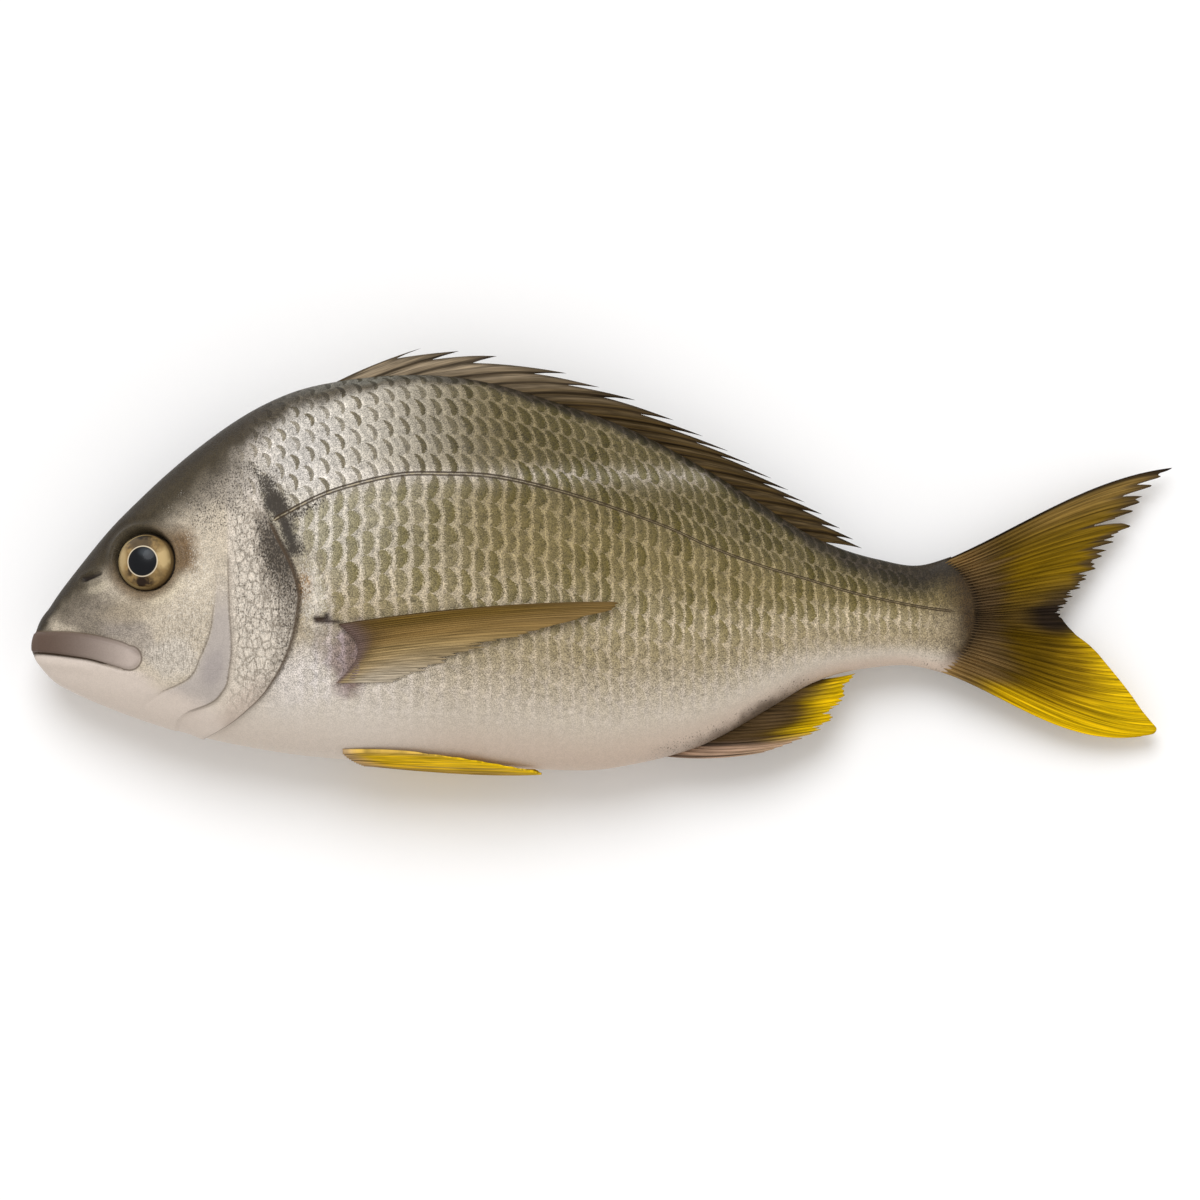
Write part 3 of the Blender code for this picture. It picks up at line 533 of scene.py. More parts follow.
class Skin:
    """Places and measures on the plain skin, as arrays of columns by rows."""

    def __init__(self, settings):
        marks = np.concatenate([
            np.linspace(0, 1, 14)[:-1] ** 2 * 0.004,
            np.linspace(0.004, BODY_END - TAIL_TAPER, settings.columns - 24),
            BODY_END - TAIL_TAPER * np.linspace(1, 0, 11)[1:] ** 2,
        ])[:, None]
        left = section_turns(settings.left_rows, 0, math.pi)
        right = section_turns(settings.right_rows, math.pi, 2 * math.pi)
        turns = np.concatenate([left, right[1:]])[None, :]
        self.sign = np.sign(np.sin(turns)) * (np.abs(np.sin(turns)) > 1e-9)
        self.station = marks + 0 * turns
        for _ in range(8):
            self.height = self.height_at(self.station, turns)
            self.station = column_station(marks, self.height)
        self.height = self.height_at(self.station, turns)
        end_share = np.clip((marks - (BODY_END - TAIL_TAPER)) / TAIL_TAPER, 0, 1)
        thinner = 1 - TAIL_THINNING * ramp(marks, TAIL_THIN_START, BODY_END - TAIL_TAPER)
        self.side = skin_side(self.station, self.height) * thinner * np.sqrt(1 - end_share**2)
        self.middle = middle_plane(self.station)
        self.share = (self.height - belly_height(self.station)) / (
            back_height(self.station) - belly_height(self.station)
        )
        self.depth = back_height(self.station) - self.height
        self.marks = marks + 0 * turns
        self.split = settings.left_rows
        self.points = in_fish(self.station, self.height, self.middle + self.sign * self.side)
        self.normals = self.find_normals()
        self.wander = mottle(self.station, self.height, 0.0052, 12) + 0.5 * mottle(
            self.station, self.height, 0.0017, 13
        )
        self.scale_p, self.scale_q = self.scale_places()

    @staticmethod
    def height_at(station, turns):
        """The height of a point that is turned round the section from the back."""
        middle = widest_height(station)
        return middle + (back_height(station) - middle) * np.cos(turns)

    def find_normals(self):
        """Outward directions of the plain skin. At the snout they all point forwards."""
        along = np.gradient(self.points, axis=0)
        round_section = self.points[:, np.r_[1 : self.points.shape[1], 1]] - self.points[
            :, np.r_[-2, 0 : self.points.shape[1] - 1]
        ]
        normals = np.cross(round_section, along)
        normals /= np.linalg.norm(normals, axis=-1, keepdims=True) + 1e-12
        forwards = np.array([-1.0, 0.0, 0.0])
        share = ramp(self.marks, 0.0004, 0.0)[..., None]
        normals = normals * (1 - share) + forwards * share
        return normals / np.linalg.norm(normals, axis=-1, keepdims=True)

    def scale_places(self):
        """How many scales lie between a point and the head, and between it and the lateral line."""
        stations = np.linspace(0, 0.28, 2000)
        counts = np.concatenate([[0], np.cumsum(np.diff(stations) / scale_length(stations[1:]))])
        along = np.interp(self.station, stations, counts)
        steps = np.linalg.norm(np.diff(self.points, axis=1), axis=-1)
        run = np.concatenate([np.zeros((len(steps), 1)), np.cumsum(steps, axis=1)], axis=1)
        total = run[:, -1:]
        arc = np.where(np.arange(run.shape[1]) <= self.split, run, total - run)
        line = np.array([
            np.interp(-lateral_height(place[0]), -rows, measured)
            for place, rows, measured in zip(
                self.station[:, : self.split + 1],
                self.height[:, : self.split + 1],
                arc[:, : self.split + 1],
            )
        ])[:, None]
        growth = np.where(arc > line, LOWER_SCALE_GROWTH, 1)
        across = (arc - line) / (scale_width(self.station) * growth)
        along = along + 0.10 * mottle(self.station, self.height, 0.011, 3)
        below = ramp(across, 0.0, 0.6)
        along = along + 0.16 * below * mottle(self.station, self.height, 0.0060, 5)
        across = across + 0.16 * below * mottle(self.station, self.height, 0.0130, 4)
        return along, across


def scale_cell(p, q):
    """Where a point lies on its scale: its share of the length, and its share of the width."""
    v = q - np.floor(q)
    lean = np.where(q < 0, SCALE_LEAN_ABOVE, SCALE_LEAN_BELOW)
    u = p - SCALE_BULGE * 4 * v * (1 - v) - lean * (v - 0.5)
    return u - np.floor(u), v


def scale_strength(skin):
    """How clearly the scales show: not on the head, and faintly on the belly."""
    behind = ramp(curve_distance(skin.station, skin.height, gill_station), 0.0010, 0.0120)
    nape = ramp(skin.station, 0.0520, 0.0760) * ramp(skin.height, 0.0130, 0.0230)
    low = ramp(skin.share, 0.07, 0.34)
    tail = ramp(skin.marks, 0.2600, 0.2440)
    return np.maximum(behind, nape) * (0.06 + 0.94 * low) * tail


def lip_distance(skin):
    """Signed distance from the upper lip's edge, negative inside it."""
    x, y, radius = LIP_END
    band = np.maximum(skin.height - lip_height(skin.station), mouth_height(skin.station) - skin.height)
    band = np.maximum(band, skin.station - x)
    return np.minimum(band, np.hypot(skin.station - x, skin.height - y) - radius)


def on_lip(skin):
    """1 on the upper lip, and 0 off it."""
    return ramp(lip_distance(skin), 0.0004, -0.0002)


def eye_distance(skin):
    """Distance from the middle of the eye, along the flank."""
    return np.hypot(skin.station - EYE_STATION, skin.height - EYE_HEIGHT)


def gill_shade(skin, spread):
    """How dark the shade in front of the gill cover's edge is, with its reach spread wider or narrower."""
    gill = curve_distance(skin.station, skin.height, gill_station)
    reach = gill_shade_reach(skin.height)
    near = ramp(-gill + 0.0013 * skin.wander, 1.25 * spread * reach, 0.30 * reach)
    return np.clip(gill_shade_darkness(skin.height), 0, 1) * near * ramp(gill, 0.0013, 0.0008)


def head_relief(skin, settings):
    """How far the plates of the head, the lips and the eye's rim stand over the plain skin."""
    station, height, mark = skin.station, skin.height, skin.marks
    step_run, fold_step = 0.0008, 0.00035
    below = ramp(height, 0.0240, 0.0120)
    gill = ramp(mark, CHEEK_MARK + step_run, GILL_MARK) * ramp(mark, GILL_MARK + step_run, GILL_MARK)
    cheek = ramp(mark, HEAD_PLATE_LIMITS[0], CHEEK_MARK)
    cheek = cheek * ramp(mark, CHEEK_MARK + step_run, CHEEK_MARK)
    plates = below * (gill * settings.gill_step + cheek * settings.cheek_step)
    fold = curve_distance(station, height, fold_station)
    fold_here = ramp(height, -0.0040, -0.0120) * ramp(height, -0.0410, -0.0340)
    plates = plates + fold_here * fold_step * (ramp(fold, -0.0060, 0.0) * (fold < 0) - bell(fold, 0.0004))

    lip = lip_distance(skin)
    raised = 0.0009 * ramp(-lip, -0.0001, 0.0012) - 0.0003 * bell(lip - 0.0002, 0.0004)
    mouth = curve_distance(height, station, mouth_height)
    mouth_here = ramp(station, 0.0275, 0.0240)
    groove = -0.0010 * bell(mouth, 0.00040) * mouth_here
    lower_lip = 0.0005 * bell(mouth + 0.0022, 0.0017) * ramp(station, 0.0230, 0.0120)
    nostril = segment_distance(station, height, *NOSTRIL)
    pit = -0.0008 * bell(nostril, 0.0006) + 0.0003 * bell(nostril - 0.0013, 0.0006)

    away = eye_distance(skin)
    upper = 0.5 + 0.5 * np.clip((height - EYE_HEIGHT) / np.maximum(away, 1e-6), -1, 1)
    bowl = -0.0034 * ramp(away, 0.0090, 0.0080)
    rim = (0.0002 + 0.0007 * upper) * bell(away - 0.0097, 0.0008)
    rim = rim - 0.0004 * upper * bell(away - 0.0116, 0.0008)
    return plates + raised + groove + lower_lip + pit + bowl + rim


def body_relief(skin, settings):
    """How far the scales, the lateral line and the fin's root stand over the plain skin."""
    station, height = skin.station, skin.height
    s, v = scale_cell(skin.scale_p, skin.scale_q)
    rise = np.minimum(s / 0.76, (1 - s) / 0.24)
    above = 1 - 0.55 * (skin.scale_q > 0)
    scales = settings.scale_relief * above * (rise * (0.5 + 0.5 * np.sin(math.pi * v)) - 0.4)
    lateral = curve_distance(height, station, lateral_height)
    line = 0.00020 * bell(lateral, 0.0005) * ramp(station, 0.0680, 0.0760)
    root = np.hypot((station - 0.0893) / 0.0065, (height + 0.0252) / 0.0095)
    mound = 0.0009 * ramp(root, 1.15, 0.35) * (skin.sign > 0)
    notch = segment_distance(station, height, *FIN_NOTCH)
    fold = -0.0013 * bell(notch, 0.0008) * (skin.sign > 0)
    crease = segment_distance(station, height, *FIN_CREASE)
    fold = fold - 0.0005 * bell(crease, 0.0006) * (skin.sign > 0)
    slack = 0.00022 * mottle(station, height, 0.012, 8) + 0.00008 * mottle(station, height, 0.005, 9)
    return scales * scale_strength(skin) + line + mound + fold + slack * ramp(skin.marks, 0.0, 0.0060)


def flank_tint(skin, settings):
    """The colour of the scaled body, from the pale belly to the dark back."""
    station, share = skin.station, skin.share
    tint = blend_colours(settings.belly_edge, settings.belly, ramp(share, 0.02, 0.14))
    tint = blend_colours(tint, settings.low_flank, ramp(share, 0.11, 0.34))
    front = ramp(station, 0.1340, 0.0660)
    middle = blend_colours(settings.olive, settings.silver, 0.90 * ramp(station, 0.1380, 0.0650))
    tint = blend_colours(tint, middle, ramp(share, 0.36, 0.60))
    upper = blend_colours(settings.back, settings.silver, front)
    tint = blend_colours(tint, upper, ramp(share, 0.62, 0.86))
    pale_front = ramp(station, 0.1250, 0.0900) * ramp(share, 0.40, 0.24)
    tint = blend_colours(tint, settings.chest, 0.6 * pale_front)
    rear = ramp(station, 0.2080, 0.2420)
    waist = 0.8 * rear * ramp(share, 0.66, 0.40) * ramp(share, 0.10, 0.30)
    tint = blend_colours(tint, settings.low_flank, waist)
    tint = blend_colours(tint, settings.back, rear * ramp(share, 0.58, 0.80))
    base = blend_colours(settings.tail_root, settings.belly_edge, 0.8 * ramp(share, 0.24, 0.02))
    band = ramp(skin.marks + 0.0016 * skin.wander, 0.2540, 0.2640)
    tint = blend_colours(tint, base, band)
    anal = ramp(station, 0.1680, 0.2020) * ramp(station, 0.2220, 0.2060)
    foot = ramp(skin.height - belly_height(station) + 0.0012 * skin.wander, 0.0046, 0.0004)
    return blend_colours(tint, settings.anal_root, 0.9 * anal * foot)


def head_tint(skin, settings):
    """The colour of the head, with its bright cheek, soft marks, painted shade in the crease round the eye
    and grey lips.
    """
    station, height = skin.station, skin.height
    plate = ramp(curve_distance(station, height, cheek_station), -0.0004, 0.0006)
    tint = blend_colours(settings.cheek, settings.gill_plate, plate * 0.85)
    inner = curve_distance(station, height, fold_station)
    band = ramp(inner, -0.0003, 0.0007) * (1 - plate) * ramp(height, 0.0010, -0.0170)
    tint = blend_colours(tint, settings.lilac, band * 0.85)
    edge = -0.0175 - 0.40 * station
    low = ramp(height + 0.0010 * skin.wander, edge + 0.0012, edge - 0.0050)
    tint = blend_colours(tint, settings.jaw, low)
    tint = with_soft_marks(tint, skin, -math.inf, CHEST_START)
    under_mouth = ramp(mouth_height(station) - height, 0.0, 0.0008) * ramp(station, 0.0340, 0.0270)
    tint = blend_colours(tint, settings.jaw, under_mouth)
    away = eye_distance(skin)
    upper = ramp((height - EYE_HEIGHT) / np.maximum(away, 0.0001), -0.30, 0.60)
    tint = blend_colours(tint, SOCKET_BROWN, 0.9 * ramp(away, 0.0126 + 0.0004 * upper, 0.0090))
    # Painted shade in the crease round the eye, wider under the brow
    ring = ramp(away, 0.0086 + 0.0010 * upper, 0.0082 + 0.0004 * upper)
    tint = blend_colours(tint, EYE_CREASE_SHADE, ring)
    paler = np.clip((station - 0.0030) / 0.0250, 0, 1) ** 1.8
    lip_colour = blend_colours(settings.lip, settings.lip_end, paler)
    lip_rim = ramp(height - lip_height(station), -0.0020, 0.0)
    lip_colour = blend_colours(lip_colour, settings.lip, 0.5 * lip_rim)
    return blend_colours(tint, lip_colour, on_lip(skin))


def soft_mark(skin, station, height, reach_x, reach_y, turn, soft):
    """1 inside a turned ellipse on the flank, and falling softly to 0 at its ragged edge."""
    x, y = skin.station - station, skin.height - height
    cosine, sine = math.cos(math.radians(turn)), math.sin(math.radians(turn))
    away = np.hypot((x * cosine + y * sine) / reach_x, (y * cosine - x * sine) / reach_y)
    return ramp(away + 0.18 * skin.wander, 1.15, 1.15 - soft)


def with_soft_marks(tint, skin, start, end, shown=1):
    """A colour field with the soft marks that lie between two stations, where they are shown."""
    for _, station, height, reach_x, reach_y, turn, soft, strength, colour in SOFT_MARKS:
        if start <= station < end:
            mark = soft_mark(skin, station, height, reach_x, reach_y, turn, soft) * shown
            tint = blend_colours(tint, colour, strength * mark)
    return tint


def skin_tint(skin, settings, plum):
    """The colour of the whole skin before its scales and speckles, with painted shade at the nostril, the
    gill opening and the fin's notch, and painted light and shade on the fin's root.
    """
    station, height, wander = skin.station, skin.height, skin.wander
    gill = curve_distance(station, height, gill_station)
    behind = ramp(gill + 0.0003 * wander, -0.0001, 0.0008) * ramp(height, 0.0400, 0.0180)
    behind = np.maximum(behind, ramp(station, 0.0520, 0.0760) * ramp(height, 0.0120, 0.0300))
    tint = blend_colours(head_tint(skin, settings), flank_tint(skin, settings), behind)
    tint = with_soft_marks(tint, skin, CHEST_START, math.inf, gill > 0.0004)

    off_lip = 1 - on_lip(skin)
    reach = forehead_depth(station)
    cap = ramp(skin.depth + 0.0014 * wander, reach * 1.45, reach * 0.40)
    tint = blend_colours(tint, settings.forehead, cap * off_lip)
    shoulder = hat(station, 0.0650, 0.0950, 0.1250)
    dark = blend_colours(settings.edge, SHOULDER_EDGE, shoulder)
    reach = edge_depth(station)
    edge = ramp(skin.depth + 0.0006 * wander, reach * 1.5, reach * 0.4)
    tint = blend_colours(tint, dark, (1 - 0.35 * shoulder) * edge * off_lip)

    # Painted shade in the nostril's pit
    nostril = segment_distance(station, height, *NOSTRIL)
    nostril = nostril + 0.12 * (station - NOSTRIL[0][0])
    tint = blend_colours(tint, NOSTRIL_PAINTED_SHADE, ramp(nostril, 0.0011, 0.0003))
    tint = blend_colours(tint, GILL_SHADE, 0.88 * gill_shade(skin, 1.0))
    mark = segment_distance(station, height, *BLOTCH) + 0.0016 * wander
    tint = blend_colours(tint, settings.blotch, 0.90 * ramp(mark, 0.0042, 0.0004))
    # Painted shadow of the gill opening, in the blotch's colour
    opening_shadow = segment_distance(station, height, *GILL_OPENING_SHADOW) + 0.0012 * wander
    tint = blend_colours(tint, settings.blotch, 0.95 * ramp(opening_shadow, 0.0032, 0.0006) * (gill > -0.0006))
    patch = soft_mark(skin, 0.0766, -0.0066, 0.0027, 0.0048, 0, 0.9) * (gill > 0.0004)
    tint = blend_colours(tint, RUST, 0.92 * patch)
    root = soft_mark(skin, 0.0898, -0.0262, 0.0066, 0.0108, -8, 0.55)
    # The fin's fleshy root is plum, painted lighter at its front and darker at its rear, as light and shade
    # on its bulge
    plum = blend_colours(FIN_ROOT_PAINTED_LIGHT, plum, ramp(station, 0.0860, 0.0905))
    tint = blend_colours(tint, plum, 0.95 * root * (skin.sign > 0))
    # Painted shade in the fold at the fin's notch
    notch = segment_distance(station, height, *FIN_NOTCH_SHADE) + 0.10 * (station - FIN_NOTCH_SHADE[0][0])
    notch = np.minimum(notch, segment_distance(station, height, *FIN_NOTCH_BRANCH) + 0.0008)
    notch = ramp(notch + 0.0002 * wander, 0.0017, 0.0006) * (skin.sign > 0)
    return blend_colours(tint, NOTCH_PAINTED_SHADE, notch)


def grid_piece(name, points, fields, material):
    """A closed mesh over an array of points whose edges meet, with a value of each field at every point."""
    columns, rows = points.shape[:2]
    shape = bmesh.new()
    bmesh.ops.create_grid(shape, x_segments=columns - 1, y_segments=rows - 1, size=1)
    mesh = bpy.data.meshes.new(name)
    shape.to_mesh(mesh)
    flat = np.empty(len(mesh.vertices) * 3, np.float32)
    mesh.vertices.foreach_get("co", flat)
    flat = flat.reshape(-1, 3)
    column = np.rint((flat[:, 0] + 1) / 2 * (columns - 1)).astype(int)
    row = np.rint((flat[:, 1] + 1) / 2 * (rows - 1)).astype(int)
    mesh.vertices.foreach_set("co", points[column, row].astype(np.float32).ravel())
    for field, values in fields.items():
        layer = mesh.attributes.new(field, "FLOAT_VECTOR", "POINT")
        layer.data.foreach_set("vector", values[column, row].astype(np.float32).ravel())
    shape.clear()
    shape.from_mesh(mesh)
    bmesh.ops.remove_doubles(shape, verts=shape.verts, dist=0.00001)
    bmesh.ops.dissolve_degenerate(shape, edges=shape.edges, dist=0.00001)
    loose = [edge for edge in shape.edges if not edge.link_faces]
    bmesh.ops.delete(shape, geom=loose, context="EDGES")
    shape.normal_update()
    bmesh.ops.recalc_face_normals(shape, faces=shape.faces)
    shape.to_mesh(mesh)
    shape.free()
    mesh.shade_smooth()
    return shown_piece(name, mesh, material)


def shown_piece(name, mesh, material):
    """Links a finished mesh to the scene as a piece that rides on the fish."""
    mesh.materials.append(material)
    piece = bpy.data.objects.new(name, mesh)
    bpy.context.scene.collection.objects.link(piece)
    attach(piece, "root")
    return piece


class Sheet:
    """Adds nodes to one material and links them."""

    def __init__(self, name):
        self.material = bpy.data.materials.new(name)
        self.material.use_nodes = True
        self.nodes = self.material.node_tree.nodes
        self.links = self.material.node_tree.links
        self.shader = self.nodes["Principled BSDF"]

    def plug(self, socket, value):
        """Links a node's output to a socket, or sets the socket to a constant."""
        if isinstance(value, bpy.types.NodeSocket):
            self.links.new(value, socket)
        elif value is not None:
            socket.default_value = value

    def math(self, operation, first, second=None, third=None):
        node = self.nodes.new("ShaderNodeMath")
        node.operation = operation
        for socket, value in zip(node.inputs, (first, second, third)):
            self.plug(socket, value)
        return node.outputs[0]

    def span(self, value, low, high, new_low=0.0, new_high=1.0, kind="SMOOTHSTEP"):
        """A value moved smoothly from one range to another, and kept inside it."""
        node = self.nodes.new("ShaderNodeMapRange")
        node.interpolation_type = kind
        for socket, given in zip(node.inputs, (value, low, high, new_low, new_high)):
            self.plug(socket, given)
        return node.outputs[0]

    def mix(self, share, first, second, kind="MIX"):
        node = self.nodes.new("ShaderNodeMix")
        node.data_type = "RGBA"
        node.blend_type = kind
        node.clamp_factor = True
        self.plug(node.inputs[0], share)
        self.plug(node.inputs[6], first)
        self.plug(node.inputs[7], second)
        return node.outputs[2]

    def grey(self, value):
        """A number as a colour."""
        node = self.nodes.new("ShaderNodeCombineColor")
        for socket in node.inputs:
            self.plug(socket, value)
        return node.outputs[0]

    def field(self, name):
        """The three numbers of a field of the mesh."""
        node = self.nodes.new("ShaderNodeAttribute")
        node.attribute_name = name
        split = self.nodes.new("ShaderNodeSeparateXYZ")
        self.links.new(node.outputs["Vector"], split.inputs[0])
        return list(split.outputs)

    def field_colour(self, name):
        """A field of the mesh as a colour."""
        node = self.nodes.new("ShaderNodeAttribute")
        node.attribute_name = name
        return node.outputs["Color"]

    def vector(self, x, y, z=0.0):
        node = self.nodes.new("ShaderNodeCombineXYZ")
        for socket, value in zip(node.inputs, (x, y, z)):
            self.plug(socket, value)
        return node.outputs[0]

    def stretched(self, stretch):
        """The object's own coordinates, stretched along its axes."""
        coordinates = self.nodes.new("ShaderNodeTexCoord")
        mapping = self.nodes.new("ShaderNodeMapping")
        mapping.inputs["Scale"].default_value = stretch
        self.links.new(coordinates.outputs["Object"], mapping.inputs["Vector"])
        return mapping.outputs[0]

    def noise(self, scale, detail, stretch=(1.0, 1.0, 1.0), place=None):
        """Noise over the object's own coordinates, or over a given place."""
        if place is None:
            place = self.stretched(stretch)
        node = self.nodes.new("ShaderNodeTexNoise")
        self.plug(node.inputs["Vector"], place)
        node.inputs["Scale"].default_value = scale
        node.inputs["Detail"].default_value = detail
        return node.outputs[0]

    def cells(self, scale, stretch):
        """Distance from the nearest border between uneven cells."""
        place = self.stretched(stretch)
        node = self.nodes.new("ShaderNodeTexVoronoi")
        node.feature = "DISTANCE_TO_EDGE"
        self.links.new(place, node.inputs["Vector"])
        node.inputs["Scale"].default_value = scale
        return node.outputs["Distance"]

    def dots(self, place):
        """A steady random number for each whole-numbered place."""
        node = self.nodes.new("ShaderNodeTexWhiteNoise")
        node.noise_dimensions = "2D"
        self.plug(node.inputs["Vector"], place)
        return node.outputs["Value"]

    def bump(self, height, distance, under=None):
        """A normal bent by a height, over one that is bent already."""
        node = self.nodes.new("ShaderNodeBump")
        node.inputs["Strength"].default_value = 1.0
        node.inputs["Distance"].default_value = distance
        self.plug(node.inputs["Height"], height)
        if under is not None:
            self.links.new(under, node.inputs["Normal"])
        return node.outputs[0]

    def finish(self, colour, normal, roughness, level=0.5, coat=0.0, coat_roughness=0.1):
        """Gives the shader its colour, relief and gloss."""
        self.plug(self.shader.inputs["Base Color"], colour)
        self.plug(self.shader.inputs["Roughness"], roughness)
        self.shader.inputs["Specular IOR Level"].default_value = level
        self.shader.inputs["Coat Weight"].default_value = coat
        self.shader.inputs["Coat Roughness"].default_value = coat_roughness
        if normal is not None:
            self.links.new(normal, self.shader.inputs["Normal"])
        return self.material


def scale_pigment_and_shade(sheet, p, q, fullness, ragged):
    """How dark a point is in its scale: 1 in the dark lens, and 0 on the pale net round it. The lens is the
    olive middle of the scales further back, and on the front scales a crescent of painted shade at the rear
    edge. Every scale is also painted darker towards its rear edge, as shade.
    """
    v = sheet.math("FRACT", q)
    round_v = sheet.math("MULTIPLY", sheet.math("MULTIPLY", v, sheet.math("SUBTRACT", 1.0, v)), 4.0)
    is_above = sheet.math("LESS_THAN", q, 0.0)
    lean = sheet.math("MULTIPLY_ADD", is_above, SCALE_LEAN_ABOVE - SCALE_LEAN_BELOW, SCALE_LEAN_BELOW)
    u = sheet.math("SUBTRACT", p, sheet.math("MULTIPLY", round_v, SCALE_BULGE))
    u = sheet.math("SUBTRACT", u, sheet.math("MULTIPLY", lean, sheet.math("SUBTRACT", v, 0.5)))
    s = sheet.math("FRACT", u)
    chance = sheet.dots(sheet.vector(sheet.math("FLOOR", u), sheet.math("FLOOR", q)))

    # On the front scales the dark lens sits at the rear edge, as a crescent of painted shade
    centre = sheet.math("MULTIPLY_ADD", fullness, -0.34, 0.84)
    width = sheet.math("MULTIPLY_ADD", fullness, 0.28, 0.18)
    lens = sheet.math("POWER", sheet.math("MAXIMUM", round_v, 0.001), 0.42)
    reach = sheet.math("ABSOLUTE", sheet.math("SUBTRACT", s, centre))
    reach = sheet.math("DIVIDE", reach, sheet.math("MULTIPLY", width, lens))
    reach = sheet.math("MULTIPLY_ADD", ragged, 0.22, reach)
    inside = sheet.math("MULTIPLY", sheet.span(reach, 1.12, 0.66), sheet.span(s, 1.0, 0.96))
    # Painted shade: every scale grows darker towards its rear edge
    rear = sheet.span(s, 0.10, 0.85, 0.72, 1.0, "LINEAR")
    uneven = sheet.span(chance, 0.0, 1.0, 0.62, 1.05, "LINEAR")
    return s, lens, sheet.math("MULTIPLY", sheet.math("MULTIPLY", inside, rear), uneven)


def skin_material():
    """Wet skin: olive scales in a pale net with painted shade and highlights on each scale, glitter that is
    painted glints of light, pepper, and thin dark lines, which are painted shade in the grooves and the
    lateral line's own colour.
    """
    sheet = Sheet("wet_skin")
    tint = sheet.field_colour("tint")
    p, q, strength = sheet.field("scale_place")
    contrast, fullness, speckle = sheet.field("tone")
    glitter, pepper, bristle = sheet.field("grains")
    crackle = sheet.field("finish")[0]
    gill, cheek, lateral = sheet.field("body_lines")
    mouth, fold, lip = sheet.field("head_lines")

    fine = sheet.span(sheet.noise(3000.0, 2.0), 0.37, 0.63, -1.0, 1.0, "LINEAR")
    lump = sheet.span(sheet.noise(640.0, 3.0), 0.34, 0.66, -1.0, 1.0, "LINEAR")
    s, lens, dark = scale_pigment_and_shade(sheet, p, q, fullness, fine)
    light = sheet.mix(1.0, tint, (1.56, 1.64, 1.90, 1.0), "MULTIPLY")
    # Painted highlight: the pale net is brightest just behind each scale's rear edge
    light = sheet.mix(1.0, light, sheet.grey(sheet.span(s, 0.28, 0.0, 1.0, 1.35)), "MULTIPLY")
    tone = sheet.mix(fullness, (0.40, 0.375, 0.29, 1.0), (0.50, 0.51, 0.17, 1.0))
    olive = sheet.mix(1.0, tint, tone, "MULTIPLY")
    scaled = sheet.mix(dark, light, olive)
    colour = sheet.mix(sheet.math("MULTIPLY", strength, contrast), tint, scaled)

    grain = sheet.math("ADD", sheet.math("MULTIPLY", fine, 0.70), sheet.math("MULTIPLY", lump, 0.30))
    gain = sheet.math("MULTIPLY_ADD", sheet.math("MULTIPLY", grain, speckle), 0.58, 1.0)
    colour = sheet.mix(1.0, colour, sheet.grey(gain), "MULTIPLY")
    border = sheet.span(sheet.cells(430.0, (1.0, 0.75, 1.0)), 0.16, 0.0)
    colour = sheet.mix(sheet.math("MULTIPLY", border, crackle), colour, (0.20, 0.165, 0.125, 1.0))

    # Ragged marks that cover more of the skin where their share is larger. The glitter is painted glints of
    # light. The bristle and the pepper are dark streaks and speckles of the skin, and the pepper is in part
    # painted shade along the gill cover's edge.
    grains = (
        (glitter, 2300.0, (1.25, 0.8, 1.0), 0.34, 0.82, 0.62, GLITTER),
        (bristle, 1500.0, (2.2, 0.30, 1.0), 0.28, 0.78, 0.50, BRISTLE),
        (pepper, 2100.0, (1.2, 0.8, 1.0), 0.38, 0.80, 0.96, PEPPER),
    )
    for share, scale, stretch, reach, full, strongest, shade in grains:
        value = sheet.math("MULTIPLY_ADD", share, reach, sheet.noise(scale, 3.0, stretch))
        shown = sheet.math("MULTIPLY", sheet.span(value, 0.58, full), strongest)
        shown = sheet.math("MULTIPLY", shown, sheet.span(share, 0.0, 0.10))
        colour = sheet.mix(shown, colour, shade)

    # Thin dark lines: distance from the edge, offset and width in millimetres, darkness and colour
    # The gill, cheek, fold, mouth and lip lines are painted shade in grooves and under raised edges. The
    # lateral lines are the line's own dark colour.
    lines = (
        (gill, 0.45, 0.95, 0.40, GROOVE_PAINTED_SHADE),
        (gill, 0.20, 0.42, 0.60, GROOVE_PAINTED_SHADE),
        (cheek, 0.40, 0.90, 0.22, GROOVE_PAINTED_SHADE),
        (cheek, 0.10, 0.36, 0.38, GROOVE_PAINTED_SHADE),
        (fold, 0.0, 0.34, 0.42, GROOVE_PAINTED_SHADE),
        (mouth, 0.0, 0.46, 0.92, GROOVE_PAINTED_SHADE),
        (lip, 0.12, 0.34, 0.62, GROOVE_PAINTED_SHADE),
        (lateral, 0.42, 0.42, 0.95, LATERAL_BROWN),
        (lateral, -0.34, 0.42, 0.90, LATERAL_BROWN),
    )
    for distance, offset, width, darkness, shade in lines:
        away = sheet.math("ABSOLUTE", sheet.math("SUBTRACT", distance, offset))
        shown = sheet.math("MULTIPLY", sheet.span(away, width, width * 0.30), darkness)
        colour = sheet.mix(shown, colour, (*shade, 1.0))
    beads = sheet.span(sheet.noise(620.0, 1.0), 0.40, 0.60, 0.1, 0.8)
    pale = sheet.math("MULTIPLY", sheet.span(sheet.math("ABSOLUTE", lateral), 0.26, 0.08), beads)
    pale = sheet.math("MULTIPLY", pale, sheet.span(fullness, 0.2, 1.0, 1.0, 0.1))
    colour = sheet.mix(pale, colour, (0.48, 0.40, 0.26, 1.0))

    relief = sheet.math("MULTIPLY", sheet.math("MULTIPLY", s, strength), lens)
    normal = sheet.bump(relief, 0.00016)
    normal = sheet.bump(sheet.math("MULTIPLY", grain, speckle), 0.00005, normal)
    normal = sheet.bump(sheet.math("MULTIPLY", border, crackle), -0.00012, normal)
    rough = sheet.span(lump, -1.0, 1.0, 0.48, 0.60, "LINEAR")
    return sheet.finish(colour, normal, rough, level=0.16, coat=0.07, coat_roughness=0.22)


def line_field(distance, shown):
    """A line's signed distance in millimetres, pushed out of reach where the line isn't shown."""
    return distance * 1000 + np.where(distance < 0, -9, 9) * (1 - np.clip(shown, 0, 1))


